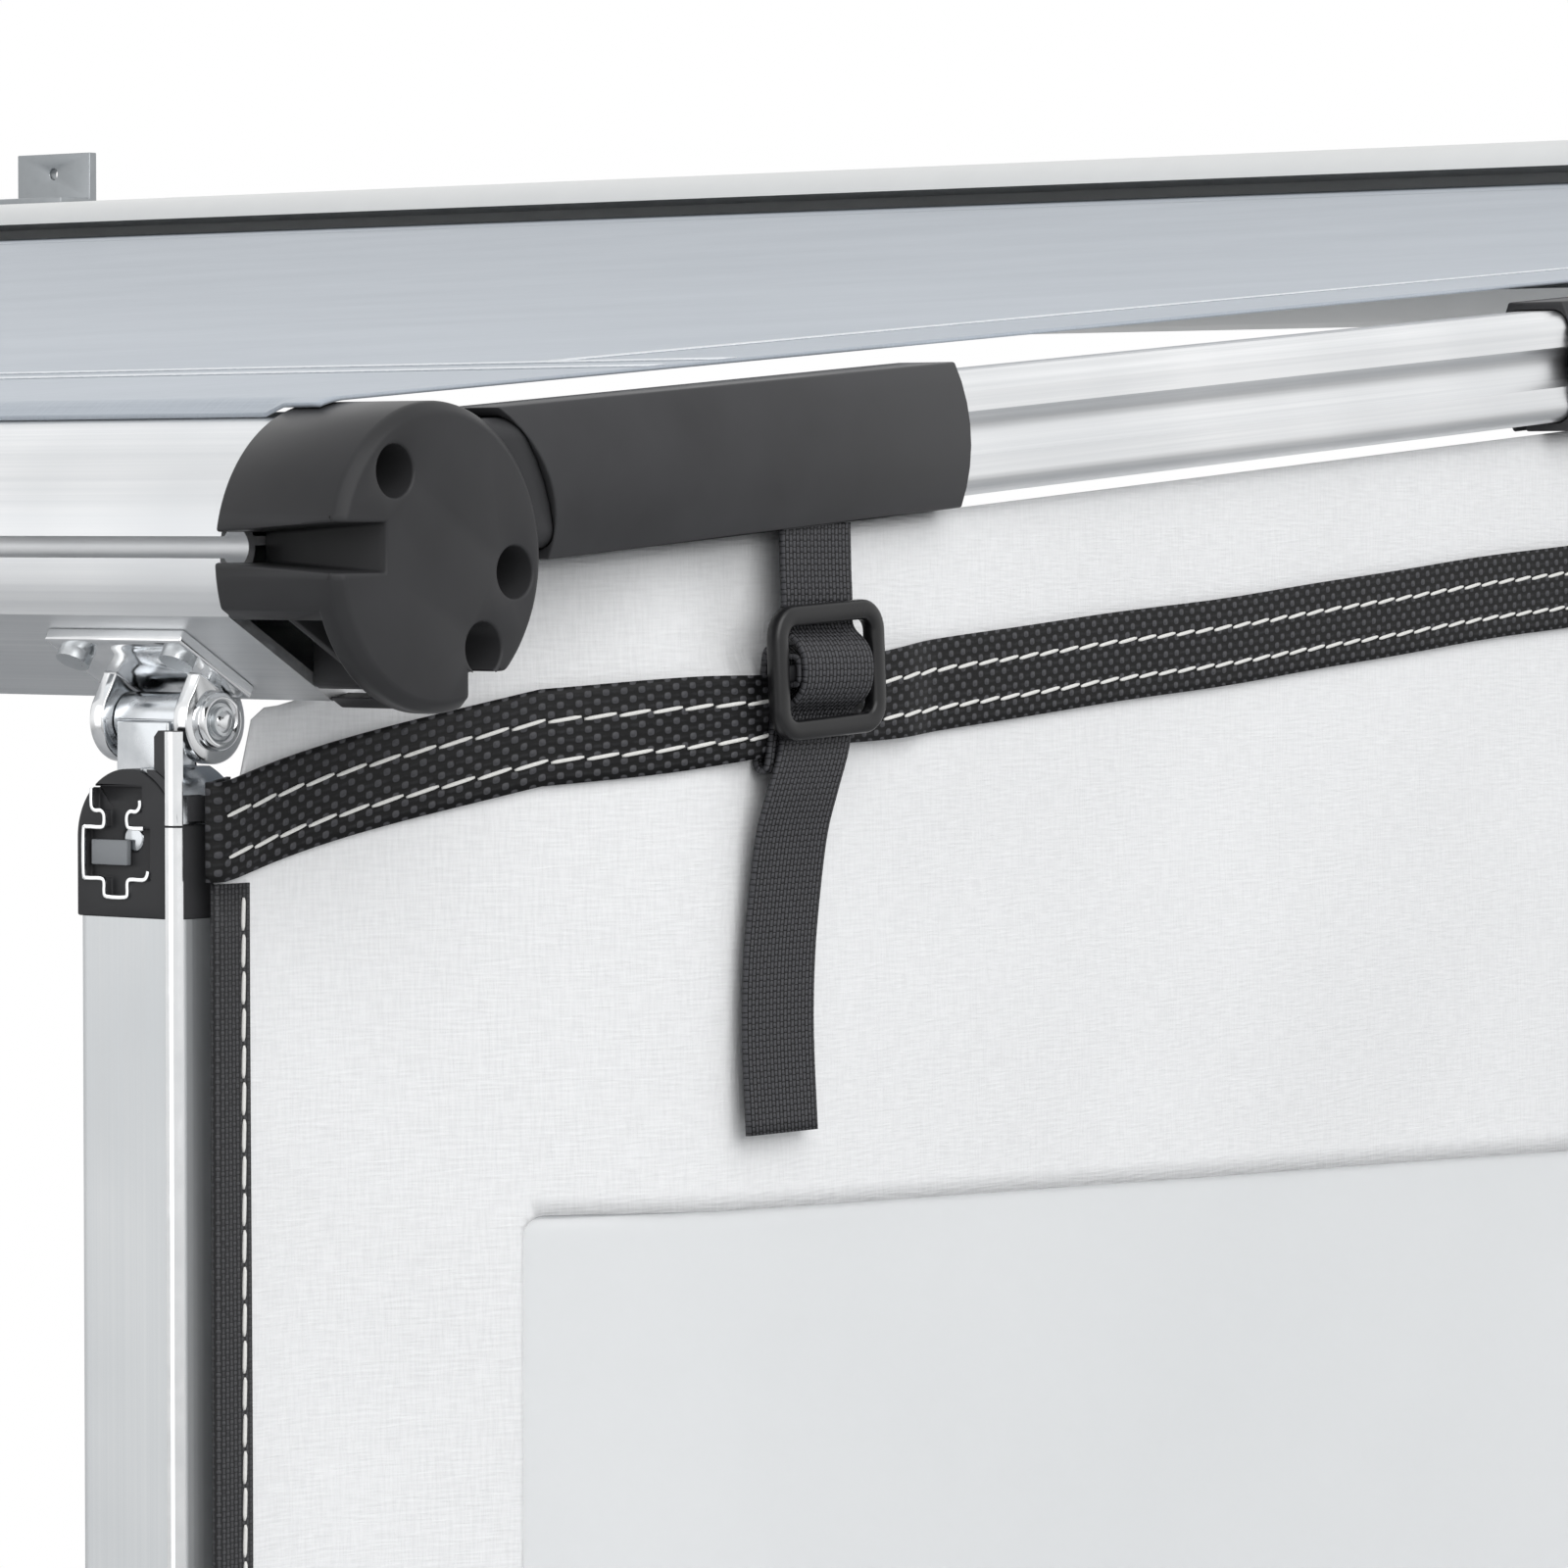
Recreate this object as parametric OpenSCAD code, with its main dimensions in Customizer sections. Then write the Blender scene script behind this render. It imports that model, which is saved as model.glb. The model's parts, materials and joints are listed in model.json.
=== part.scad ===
// Roll out awning for a caravan or camper wall, drawn rolled out with its right side panel.
// Millimetres. X runs along the wall, +Y points into the wall, +Z is up.
// The origin lies on the wall face, midway along the awning, at the height of the roller axis.

/* [Overall] */
// Width over the outer faces of the lead rail end caps
awning_w = 2450; // [2250:10:3000]
// Distance from the wall to the lead rail axis
projection = 1800; // [1650:10:2200]
// Slope of rafters and canopy in degrees
pitch = 4.5; // [2:0.5:8]
// Height of the lead rail axis above the ground
rail_height = 1960; // [1900:10:2020]

/* [Case] */
// Gap between the wall and the back of the case, which is the bracket plate
case_back = 6; // [4:0.5:10]
// Depth of the case from back to front
case_d = 86; // [80:1:110]
// Height of the case above the roller axis
case_top = 42; // [38:1:56]
// Height of the case below the roller axis
case_low = 44; // [40:1:56]
// Corner radius at the front of the case
case_corner = 18; // [10:1:24]
// Wall of the case profile
case_wall = 2.2; // [1.6:0.1:3]
// Thickness of a case end cap along the case
case_cap_t = 30; // [26:1:40]
// Distance between the two wall brackets
bracket_pitch = 1400; // [1000:10:1800]
// Width of a wall bracket along the case
bracket_w = 60; // [40:1:90]
// Thickness of the bracket lips that clamp the case
lip_t = 6; // [4:0.5:8]
// Reach of the bracket lips over the case
lip_reach = 24; // [18:1:34]
// Distance between the upper and the lower wall bolt of a bracket
bolt_pitch = 126; // [116:1:150]
// Radius of the wall bolt holes
bolt_hole_r = 3.25; // [2.75:0.25:4.25]

/* [Roller and canopy] */
// Distance from the wall to the roller axis
roller_y = 48; // [44:1:56]
// Outer radius of the roller tube
roller_r = 20; // [17:0.5:22]
// Wall of the roller tube
roller_wall = 1.8; // [1.2:0.1:2.5]
// Thickness of the canopy left wound on the tube
wound_t = 1.6; // [1.2:0.1:3]
// Thickness of the canopy sheet
canopy_t = 1.2; // [0.8:0.1:2]
// Inset of the canopy edge from the end cap face
canopy_inset = 26; // [22:1:32]
// Length of the canopy hem that folds over the lead rail
hem_len = 8.5; // [8:0.5:16]
// Radius of the fixed spring shaft
shaft_r = 5; // [4:0.5:7]
// Mean radius of the torsion spring
spring_r = 10; // [9:0.5:12]
// Wire radius of the torsion spring
wire_r = 1.4; // [1:0.1:1.8]
// Turns of the torsion spring
spring_turns = 22; // [12:1:30]
// Length of the spring shaft inside the canopy edge
shaft_l = 330; // [260:5:420]
// Length of the seat on the shaft that the spring grips
spring_seat_l = 40; // [25:1:60]
// Distance from the end of the shaft to the spring
spring_start = 12; // [8:1:20]
// Distance from the canopy edge to the spring, which is at the roller plug
spring_end = 34; // [32:1:45]

/* [Rafters] */
// Height of the front rafter tube
rafter_h = 30; // [28:0.5:36]
// Width of the front rafter tube
rafter_w = 20; // [19:0.5:24]
// Inset of the rafter axis from the end cap face
rafter_inset = 14; // [13:0.5:18]
// Radius of the fluted groove in the rafter sides
flute_r = 7.5; // [6.5:0.5:9]
// Depth of the fluted groove
flute_d = 2.2; // [1:0.1:2.6]
// Height of the inner rafter tube
inner_h = 23.6; // [22:0.2:25]
// Width of the inner rafter tube
inner_w = 10.6; // [9.6:0.2:11.4]
// Wall of the inner rafter tube
inner_wall = 1.8; // [1.4:0.1:2.2]
// Clearance between the two rafter tubes on each side
tube_clear = 0.4; // [0.25:0.05:0.6]
// Length of the front rafter tube
front_tube_l = 940; // [900:10:1000]
// Overlap of the two rafter tubes when rolled out
tube_overlap = 160; // [120:10:220]
// Distance from the wall to the rafter pins
pivot_y = 112; // [108:1:120]
// Radius of the rafter pins
pivot_r = 3; // [2.5:0.25:4]
// Distance from the lead rail axis to the front end of the rafter tube
tube_end_gap = 42; // [40:0.5:48]
// Length of the front plug ahead of the tube, before the end cap cuts it
plug_nose_l = 40; // [36:1:44]
// Length of the front plug inside the tube
plug_shank_l = 50; // [30:1:70]
// Length of the rear eye inside the inner tube
eye_shank_l = 46; // [30:1:60]
// Grip of the rafter collar on the front tube
collar_grip = 30; // [24:1:40]

/* [Lead rail] */
// Radius of the lead rail profile
rail_r = 32; // [30:0.5:36]
// Wall of the lead rail profile
rail_wall = 2.5; // [1.8:0.1:3]
// Distance from the rail axis to its flat, which faces down and forward
rail_flat = 25.8; // [24.5:0.1:27]
// Tilt of the flat from level in degrees
flat_tilt = 30; // [26:1:34]
// Height of the front keder channel over the rail axis
keder_z = 2.2; // [0:0.1:5]
// Mouth of the front keder channel
keder_mouth = 4.8; // [3:0.1:5.5]
// Bore radius of the front keder channel
keder_r = 4.2; // [3.5:0.1:5]
// Thickness of the inner web of the rail
web_t = 2; // [1.6:0.1:2.6]
// Mouth of the canopy channel on top of the rail
canopy_mouth = 3; // [2.4:0.1:3.6]
// Bore radius of the canopy channel
canopy_bore_r = 3.4; // [3:0.1:4]
// Distance of the screw ports from the rail axis
port_d = 24; // [23:0.1:25]
// Radius of the rail end cap beyond the rail profile
cap_over = 2; // [1.5:0.1:3]
// Length of a rail end cap
cap_len = 36; // [32:1:44]
// Thickness of the end cap face
cap_face = 7; // [5:0.5:9]
// Depth of the keder guide in the end caps
guide_depth = 16; // [10:0.5:17]
// Wall of the end cap
cap_wall = 3; // [2.4:0.1:4]
// Bevel around the end cap face
cap_bevel = 2.4; // [1.5:0.1:4]
// Radius of the deep screw holes in the end cap
cap_hole_r = 5.8; // [5:0.1:6.2]
// Radius of the rail screws
screw_r = 2.1; // [1.8:0.1:2.4]

/* [Straps on the right rafter] */
// Length of a sleeve clip
sleeve_l = 147; // [120:1:160]
// Distance from the first sleeve clip to the second
sleeve_pitch = 413; // [360:1:430]
// Length that the first sleeve runs on over the front plug
sleeve_nose = 20; // [12:1:24]
// Distance of that sleeve from the end cap
sleeve_nest = 7; // [4:0.5:10]
// Gap between the third sleeve clip and the rafter collar
sleeve_rest = 36; // [20:1:80]
// Wall of a sleeve clip above and below the rafter
sleeve_wall = 2.15; // [1.8:0.05:2.6]
// Strap width
strap_w = 25; // [20:1:30]
// Strap thickness
strap_t = 1.4; // [1:0.1:1.6]
// Distance from the front end of a sleeve clip to its strap
strap_at = 93; // [50:1:100]
// Buckle width
buckle_w = 35; // [33:1:40]
// Buckle height
buckle_h = 31; // [30:1:34]

/* [Side panel] */
// Thickness of the panel fabric
panel_t = 1; // [0.6:0.1:1]
// Inset of the panel from the end cap face beside the leg
panel_leg_x = 54.5; // [54:0.5:56]
// Gap between the lower edge of the panel and the ground
panel_ground = 60; // [30:5:120]
// Distance from the wall to the rear edge of the panel
panel_rear = 132; // [130:1:180]
// Width of the webbing along the top of the panel
webbing_w = 22; // [20:0.5:22]
// Thickness of the webbing
webbing_t = 1.6; // [1.2:0.1:1.6]
// Distance from the rafter axis down to the webbing
webbing_drop = 60; // [59:0.5:62]
// Further drop of the webbing beside the leg
webbing_fall = 13; // [8:0.5:16]
// Width of the binding on the front edge
binding_w = 11; // [8:0.5:14]
// Height of the window
window_h = 620; // [400:10:800]
// Distance from the rail axis down to the window
window_drop = 150; // [140:1:220]
// Distance from the rail axis to the front edge of the window
window_front = 58.5; // [50:0.5:100]
// Fall of the upper window edge towards the wall, in degrees
window_lean = 1.8; // [0:0.1:4]
// Distance of the window from the rear edge of the panel
window_rear = 90; // [60:1:140]
// Drop of the panel's upper edge beside the leg
panel_step = 38; // [36:0.5:44]
// Reach of that lower edge behind the rail axis
panel_step_y = 46; // [42:0.5:60]
// Reach of the corner that lies behind the webbing
panel_corner_y = 12; // [6:0.5:16]

/* [Legs] */
// Inset of the leg axis from the end cap face
leg_inset = 75.5; // [74:0.5:82]
// Width of the outer leg tube along the rail
leg_w = 31; // [28:0.5:32]
// Depth of the outer leg tube
leg_d = 19; // [18:0.5:20]
// Wall of the leg tubes
leg_wall = 1.8; // [1.4:0.1:2]
// Distance of the leg axis in front of the rail axis
leg_y = 11.5; // [11:0.1:12.5]
// Clearance between the two leg tubes on each side
leg_clear = 0.4; // [0.25:0.05:0.6]
// Length of the outer leg tube
leg_tube_l = 1000; // [900:10:1040]
// Overlap of the right leg tubes
leg_overlap = 120; // [100:5:200]
// Distance of the tilt pin outward from the rail flat
tilt_out = 9.8; // [9.4:0.1:11]
// Place of the tilt pin along the rail flat
tilt_along = 11.3; // [10:0.1:12]
// Distance from the tilt pin down to the fold pin of the right leg
fold_drop = 26; // [25.5:0.5:30]
// Further distance down to the fold pin of the left leg, so both legs fold
left_extra = 48; // [46:1:60]
// Radius of the leg pins
leg_pin_r = 3; // [2.5:0.1:3.2]
// Radius of the bracket cheeks round the tilt pin
leg_cheek_r = 9.5; // [8:0.1:9.6]
// Half of the clear width between the bracket cheeks
leg_cheek_gap = 11; // [10:0.5:12]
// Thickness of a bracket cheek
leg_cheek_t = 4; // [3:0.5:4.5]
// Depth of the bracket plate on the rail flat
plate_d = 26; // [25:0.5:27]
// Thickness of the bracket plate
plate_t = 3; // [2.5:0.5:4]
// Radius of the tilt pin heads
tilt_head_r = 6.5; // [5:0.1:6.6]
// Thickness of the tilt pin heads
tilt_head_t = 1.4; // [1:0.1:2]
// Running clearance of pins in their bores
pin_clear = 0.06; // [0.04:0.01:0.1]
// Length of the clamp lever
lever_l = 42; // [34:1:60]
// Size of the foot plate along the rail
foot_w = 36; // [34:1:36]
// Size of the foot plate across the rail
foot_d = 56; // [40:1:70]

/* [Hidden] */
$fn = 48;
half_w = awning_w / 2;
canopy_half = half_w - canopy_inset;
case_half = canopy_half + 14;
rafter_x = half_w - rafter_inset;
roll_r = roller_r + wound_t;
cap_r = rail_r + cap_over;
sheet_gap = 0.3;
sleeve_h = rafter_h + 2 * sleeve_wall + 0.5;
canopy_rise = sleeve_h / 2 + 3.4 + canopy_t / 2;
rise = tan(pitch);
canopy_z0 = (roll_r + sheet_gap + canopy_t / 2) / cos(pitch) + roller_y * rise;
function canopy_z(y) = canopy_z0 + y * rise;
function rafter_z(y) = canopy_z(y) - canopy_rise / cos(pitch);
rail_z = canopy_z(-projection) - (cap_r + sheet_gap + canopy_t / 2) / cos(pitch);
pivot_z = rafter_z(-pivot_y);
ground_z = rail_z - rail_height;
front_s = (projection - tube_end_gap - pivot_y) / cos(pitch);
collar_s = front_s - front_tube_l;
function sleeve_s(i) = i < 2
    ? front_s - 1 - i * sleeve_pitch
    : collar_s + collar_grip + sleeve_rest + sleeve_l;
rear_s = 16;
rear_end_s = collar_s + tube_overlap;
bore_h = inner_h + 2 * tube_clear;
bore_w = inner_w + 2 * tube_clear;
eye_w = 13.8;
cheek_gap = 0.3;
cheek_t = 3.4;
case_front = case_back + case_d;
case_grow = 2;
plate_y = case_front + case_grow;
case_ports = [
    [-case_back - 6.5, case_top - 6.5],
    [-case_back - 6.5, -case_low + 6.5],
    [-case_front + case_corner, -case_low + 6.5]
];
port_angles = [129, -8, -56];
port_r = 6;
keder_y = -(rail_r - keder_r - 0.6);
lip_high = keder_z + keder_mouth / 2;
lip_low = keder_z - keder_mouth / 2;
port_low = port_d * sin(port_angles[1]) - port_r - 1;
leg_x = half_w - leg_inset;
head_top_r = leg_w / 2;
tilt_y = tilt_along * cos(flat_tilt) - (rail_flat + tilt_out) * sin(flat_tilt);
tilt_z = -tilt_along * sin(flat_tilt) - (rail_flat + tilt_out) * cos(flat_tilt);
head_low = 17.5;
knuckle_t = 9;
slot_t = knuckle_t + 0.4;
recess_d = 2.2;
inner_leg_w = leg_w - 2 * leg_wall - 2 * leg_clear;
inner_leg_d = leg_d - 2 * leg_wall - 2 * leg_clear;
fold_right = tilt_z - fold_drop;
leg_low = fold_right - head_low - leg_tube_l;
inner_top = leg_low + leg_overlap;
foot_pin_z = 22 - rail_height;
inner_low = foot_pin_z - 10;
clamp_w = leg_w + 5;
clamp_d = leg_d + 6;
lever_y = -leg_y - clamp_d / 2 - 6;
lever_z = 4;
panel_front_y = -leg_y - 3.2;
panel_end_y = projection - panel_rear;
panel_top_s = sleeve_h / 2 + 1;
wide = 4 * panel_leg_x;
curve_y0 = -4;
curve_y1 = 122;
webbing_in = panel_t / 2 + sheet_gap + webbing_t / 2;
webbing_out = 4;
buckle_a = 8.6;
buckle_t = 4;
bar_t = 4.5;

// Right-hand pieces are drawn once and mirrored for the left.
module sided(side) {
    if (side > 0) children();
    else mirror([1, 0, 0]) children();
}

// A (y, z) section swept along X.
module along_x(x0, x1) {
    translate([x0, 0, 0]) rotate([90, 0, 90]) linear_extrude(height = x1 - x0) children();
}

// An (x, z) section swept forward along a rafter or away from the wall.
module along_s(s0, s1) {
    translate([0, -s0, 0]) rotate([90, 0, 0]) linear_extrude(height = s1 - s0) children();
}

// An (x, y) section swept from height z0 up to z1.
module upward(z0, z1) {
    translate([0, 0, z0]) linear_extrude(height = z1 - z0) children();
}

// A round bar along X.
module bar_x(r, x0, x1) {
    translate([x0, 0, 0]) rotate([0, 90, 0]) cylinder(r = r, h = x1 - x0);
}

// A round bar along Y.
module bar_y(r, y0, y1) {
    translate([0, y1, 0]) rotate([90, 0, 0]) cylinder(r = r, h = y1 - y0);
}

// A rounded rectangle about the origin.
module rounded(w, h, r) {
    square([w - 2 * r, h], center = true);
    square([w, h - 2 * r], center = true);
    for (sx = [-1, 1], sy = [-1, 1]) translate([sx * (w / 2 - r), sy * (h / 2 - r)]) circle(r = r);
}

module at_rafter() {
    translate([rafter_x, -pivot_y, pivot_z]) rotate([pitch, 0, 0]) children();
}

module at_rail() {
    translate([0, -projection, rail_z]) children();
}

module at_leg() {
    translate([leg_x, -projection, rail_z]) children();
}

// The side panel stands over the rail axis, measured from the right end cap face.
module at_panel() {
    translate([half_w, -projection, rail_z]) children();
}

// Points and faces of a flat band: centre line, width direction and thickness direction per station.
function band_points(p, wd, td, w, t) = [
    for (i = [0:len(p) - 1]) each [
        p[i] - wd[i] * w / 2 - td[i] * t / 2,
        p[i] + wd[i] * w / 2 - td[i] * t / 2,
        p[i] + wd[i] * w / 2 + td[i] * t / 2,
        p[i] - wd[i] * w / 2 + td[i] * t / 2
    ]
];
function ring_faces(n, m, closed) = [
    for (i = [0:(closed ? n - 1 : n - 2)], k = [0:m - 1]) each [
        [i * m + k, i * m + (k + 1) % m, ((i + 1) % n) * m + (k + 1) % m],
        [i * m + k, ((i + 1) % n) * m + (k + 1) % m, ((i + 1) % n) * m + k]
    ]
];
function end_faces(n, m) = [
    for (k = [1:m - 2]) each [
        [0, k + 1, k],
        [(n - 1) * m, (n - 1) * m + k, (n - 1) * m + k + 1]
    ]
];
function unit(v) = v / norm(v);

// Case

module case_outline(g) {
    yf = -case_front - g;
    yb = -case_back - max(0, -g);
    r = case_corner + g;
    translate([yf + r, -case_low - g]) square([yb - yf - r, case_top + case_low + 2 * g]);
    translate([yf, -case_low - g + r]) square([yb - yf, case_top + case_low + 2 * g - 2 * r]);
    translate([yf + r, case_top + g - r]) circle(r = r);
    translate([yf + r, -case_low - g + r]) circle(r = r);
}

module case_section() {
    difference() {
        union() {
            difference() {
                case_outline(0);
                case_outline(-case_wall);
            }
            intersection() {
                case_outline(0);
                for (p = case_ports) translate(p) circle(r = 5.2);
            }
        }
        for (p = case_ports) translate(p) circle(r = screw_r);
        translate([-case_front - 1, -case_low + 14]) square([case_corner + 2, case_top + case_low - 27]);
    }
}

module case_shell() {
    color("#e3e4e5") along_x(-case_half, case_half) case_section();
}

module case_end_cap(side) {
    color("#38383a") difference() {
        along_x(case_half, case_half + case_cap_t) case_outline(case_grow);
        for (p = case_ports) translate([0, p[0], p[1]]) {
            bar_x(screw_r + 0.3, case_half - 1, case_half + case_cap_t + 1);
            bar_x(5.2, case_half + 8, case_half + case_cap_t + 1);
        }
        translate([0, -roller_y, 0]) {
            if (side < 0) bar_x(shaft_r + 4, case_half - 1, case_half + 16);
            else bar_x(shaft_r, case_half - 1, case_half + 16);
        }
        for (dz = [-9, 9]) translate([half_w + 6, 0, pivot_z + dz])
            bar_y(screw_r, -plate_y - 1, -plate_y + 14);
    }
}

module case_end_cap_left() {
    sided(-1) case_end_cap(-1);
}

module case_end_cap_right() {
    sided(1) case_end_cap(1);
}

module wall_bracket(side) {
    color("#8d9093") translate([side * bracket_pitch / 2, 0, 0]) difference() {
        union() {
            translate([-bracket_w / 2, -case_back, -bolt_pitch / 2 - 12])
                cube([bracket_w, case_back, bolt_pitch + 24]);
            translate([-bracket_w / 2, -case_back - lip_reach, case_top])
                cube([bracket_w, lip_reach + case_back, lip_t]);
            translate([-bracket_w / 2, -case_back - lip_reach, -case_low - lip_t])
                cube([bracket_w, lip_reach + case_back, lip_t]);
        }
        for (sz = [-1, 1]) translate([0, 0, sz * bolt_pitch / 2]) bar_y(bolt_hole_r, -case_back - 1, 1);
        for (sx = [-1, 1]) translate([sx * bracket_w / 4, -case_back - lip_reach / 2, -case_low - lip_t - 1])
            cylinder(r = 2.6, h = lip_t + 2);
    }
}

module wall_bracket_left() {
    wall_bracket(-1);
}

module wall_bracket_right() {
    wall_bracket(1);
}

module case_screws() {
    color("#c9cbcd") {
        for (side = [-1, 1]) sided(side) {
            for (p = case_ports) translate([0, p[0], p[1]]) {
                bar_x(screw_r, case_half - 14, case_half + 9);
                bar_x(4.4, case_half + 8, case_half + 11.5);
            }
            for (dz = [-9, 9]) translate([half_w + 6, 0, pivot_z + dz]) {
                bar_y(screw_r, -plate_y - 5, -plate_y + 12);
                bar_y(3.9, -plate_y - 6.5, -plate_y - 4);
            }
        }
        for (side = [-1, 1], sx = [-1, 1]) translate([side * bracket_pitch / 2 + sx * bracket_w / 4, 0, 0])
            translate([0, -case_back - lip_reach / 2, -case_low - lip_t]) {
                cylinder(r = 2.5, h = lip_t);
                translate([0, 0, -3]) cylinder(r = 4.4, h = 3);
            }
    }
}

module rafter_bracket(side) {
    x0 = half_w - 26;
    inner = eye_w / 2 + cheek_gap;
    color("#4a4c4f") difference() {
        union() {
            translate([x0, -plate_y - 4, pivot_z - 16]) cube([42, 4, 29]);
            translate([rafter_x, 0, pivot_z]) for (sx = [-1, 1])
                translate([sx > 0 ? inner : -inner - cheek_t, 0, 0]) {
                    translate([0, -pivot_y, 0]) bar_x(9, 0, cheek_t);
                    translate([0, -pivot_y, -9]) cube([cheek_t, pivot_y - plate_y - 2, 18]);
                }
        }
        translate([rafter_x, -pivot_y, pivot_z]) bar_x(pivot_r, -20, 20);
        for (dz = [-9, 9]) translate([half_w + 6, 0, pivot_z + dz])
            bar_y(screw_r + 0.3, -plate_y - 5, -plate_y + 1);
    }
}

module rafter_bracket_left() {
    sided(-1) rafter_bracket(-1);
}

module rafter_bracket_right() {
    sided(1) rafter_bracket(1);
}

module rafter_pins() {
    reach = eye_w / 2 + cheek_gap + cheek_t;
    color("#c9cbcd") for (side = [-1, 1]) sided(side) translate([rafter_x, -pivot_y, pivot_z]) {
        bar_x(pivot_r, -reach - 1, reach);
        bar_x(pivot_r + 2, reach, reach + 2);
    }
}

// Roller

module at_roller() {
    translate([0, -roller_y, 0]) children();
}

module roller_tube() {
    color("#d5d7d8") at_roller() difference() {
        bar_x(roller_r, -canopy_half - 4, canopy_half + 4);
        bar_x(roller_r - roller_wall, -canopy_half - 5, canopy_half + 5);
    }
}

module plug_body() {
    bar_x(roller_r - roller_wall, canopy_half - 26, canopy_half + 4.5);
    bar_x(roller_r, canopy_half + 4, canopy_half + 7);
}

module roller_plug_left() {
    color("#38383a") at_roller() sided(-1) {
        plug_body();
        bar_x(shaft_r + 1, canopy_half + 6, case_half + 13.5);
    }
}

module roller_plug_right() {
    color("#38383a") at_roller() difference() {
        plug_body();
        bar_x(shaft_r + pin_clear, canopy_half - 30, canopy_half + 10);
    }
}

module roller_bush() {
    color("#d9d2bf") at_roller() sided(-1) difference() {
        bar_x(shaft_r + 4, case_half, case_half + 16);
        bar_x(shaft_r + 1 + pin_clear, case_half - 1, case_half + 17);
    }
}

module spring_shaft() {
    color("#9a9b9c") at_roller() {
        bar_x(shaft_r, canopy_half - shaft_l, case_half + 16);
        bar_x(spring_r - wire_r - sheet_gap, canopy_half - shaft_l, canopy_half - shaft_l + spring_seat_l);
    }
}

module torsion_spring() {
    n = spring_turns * 12;
    m = 6;
    x0 = canopy_half - shaft_l + spring_start;
    x1 = canopy_half - spring_end;
    pts = [
        for (i = [0:n], k = [0:m - 1])
            let (a = 360 * spring_turns * i / n, b = 360 * k / m)
                let (q = spring_r + wire_r * cos(b))
                    [x0 + (x1 - x0) * i / n + wire_r * sin(b), q * cos(a), q * sin(a)]
    ];
    least = min([for (i = [0:n - 12]) norm(pts[(i + 12) * m] - pts[i * m])]) - 2 * wire_r;
    echo(spring_gap = least);
    color("#6f7275") at_roller()
        polyhedron(points = pts, faces = concat(ring_faces(n + 1, m, false), end_faces(n + 1, m)));
}

module canopy_roll() {
    color("#b4bbc3") at_roller() difference() {
        bar_x(roll_r, -canopy_half, canopy_half);
        bar_x(roller_r, -canopy_half - 1, canopy_half + 1);
    }
}

// Rafters

module rafter_section() {
    difference() {
        rounded(rafter_w, rafter_h, 5);
        for (sx = [-1, 1]) translate([sx * (rafter_w / 2 + flute_r - flute_d), 0]) circle(r = flute_r);
        rounded(bore_w, bore_h, 2.2);
    }
}

module rafter_rear_tube(side) {
    color("#e3e4e5") sided(side) at_rafter() along_s(rear_s, rear_end_s) difference() {
        rounded(inner_w, inner_h, 2);
        rounded(inner_w - 2 * inner_wall, inner_h - 2 * inner_wall, 1);
    }
}

module rafter_rear_tube_left() {
    rafter_rear_tube(-1);
}

module rafter_rear_tube_right() {
    rafter_rear_tube(1);
}

module rafter_rear_eyes() {
    color("#38383a") for (side = [-1, 1]) sided(side) at_rafter() difference() {
        union() {
            bar_x(8, -eye_w / 2, eye_w / 2);
            along_s(0, rear_s) rounded(inner_w, 16, 1);
            along_s(rear_s - 0.5, rear_s + eye_shank_l)
                rounded(inner_w - 2 * inner_wall - 0.2, inner_h - 2 * inner_wall - 0.2, 1);
        }
        bar_x(pivot_r + pin_clear, -20, 20);
    }
}

module rafter_front_tube(side) {
    color("#e3e4e5") sided(side) at_rafter() along_s(collar_s, front_s) rafter_section();
}

module rafter_front_tube_left() {
    rafter_front_tube(-1);
}

module rafter_front_tube_right() {
    rafter_front_tube(1);
}

module rafter_front_plugs() {
    color("#38383a") for (side = [-1, 1]) sided(side) difference() {
        at_rafter() {
            along_s(front_s, front_s + plug_nose_l) rounded(rafter_w, rafter_h, 5);
            along_s(front_s - plug_shank_l, front_s + 0.5) rounded(bore_w - 0.3, bore_h - 0.3, 2);
        }
        at_rail() bar_x(cap_r, half_w - cap_len - 1, half_w + 1);
    }
}

module rafter_collars() {
    color("#38383a") for (side = [-1, 1]) sided(side) at_rafter() difference() {
        along_s(collar_s - 18, collar_s + collar_grip) rounded(rafter_w + 5, sleeve_h, 5);
        along_s(collar_s, collar_s + collar_grip + 1) rounded(rafter_w + 0.4, rafter_h + 0.4, 5.2);
        along_s(collar_s - 19, collar_s + 1) rounded(bore_w, bore_h, 2.2);
        translate([0, -collar_s + 9, 0]) bar_x(pivot_r + pin_clear, -20, 0);
    }
}

module rafter_knob(side) {
    reach = rafter_w / 2 + 2.5;
    color("#2e2e2f") sided(side) at_rafter() translate([0, -collar_s + 9, 0]) {
        bar_x(pivot_r, -reach - 3, -inner_w / 2 - 0.2);
        difference() {
            bar_x(11, -reach - 13, -reach - 2);
            for (k = [0:5]) rotate([60 * k, 0, 0]) translate([0, 12.5, 0])
                bar_x(3.5, -reach - 14, -reach - 1);
        }
    }
}

module rafter_knob_left() {
    rafter_knob(-1);
}

module rafter_knob_right() {
    rafter_knob(1);
}

// Canopy

module canopy() {
    r0 = cap_r + sheet_gap;
    sweep = hem_len / r0 * 180 / PI;
    up = [-sin(pitch), cos(pitch)];
    rear = [-roller_y, canopy_z(-roller_y)];
    rail = [-projection, rail_z];
    steps = 8;
    hem = [for (k = [0:steps]) let (a = 90 + pitch + sweep * k / steps) [cos(a), sin(a)]];
    color("#b4bbc3") along_x(-canopy_half, canopy_half) polygon(concat(
        [rear - up * canopy_t / 2],
        [for (d = hem) rail + d * r0],
        [for (k = [steps:-1:0]) rail + hem[k] * (r0 + canopy_t)],
        [rear + up * canopy_t / 2]
    ));
}

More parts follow.
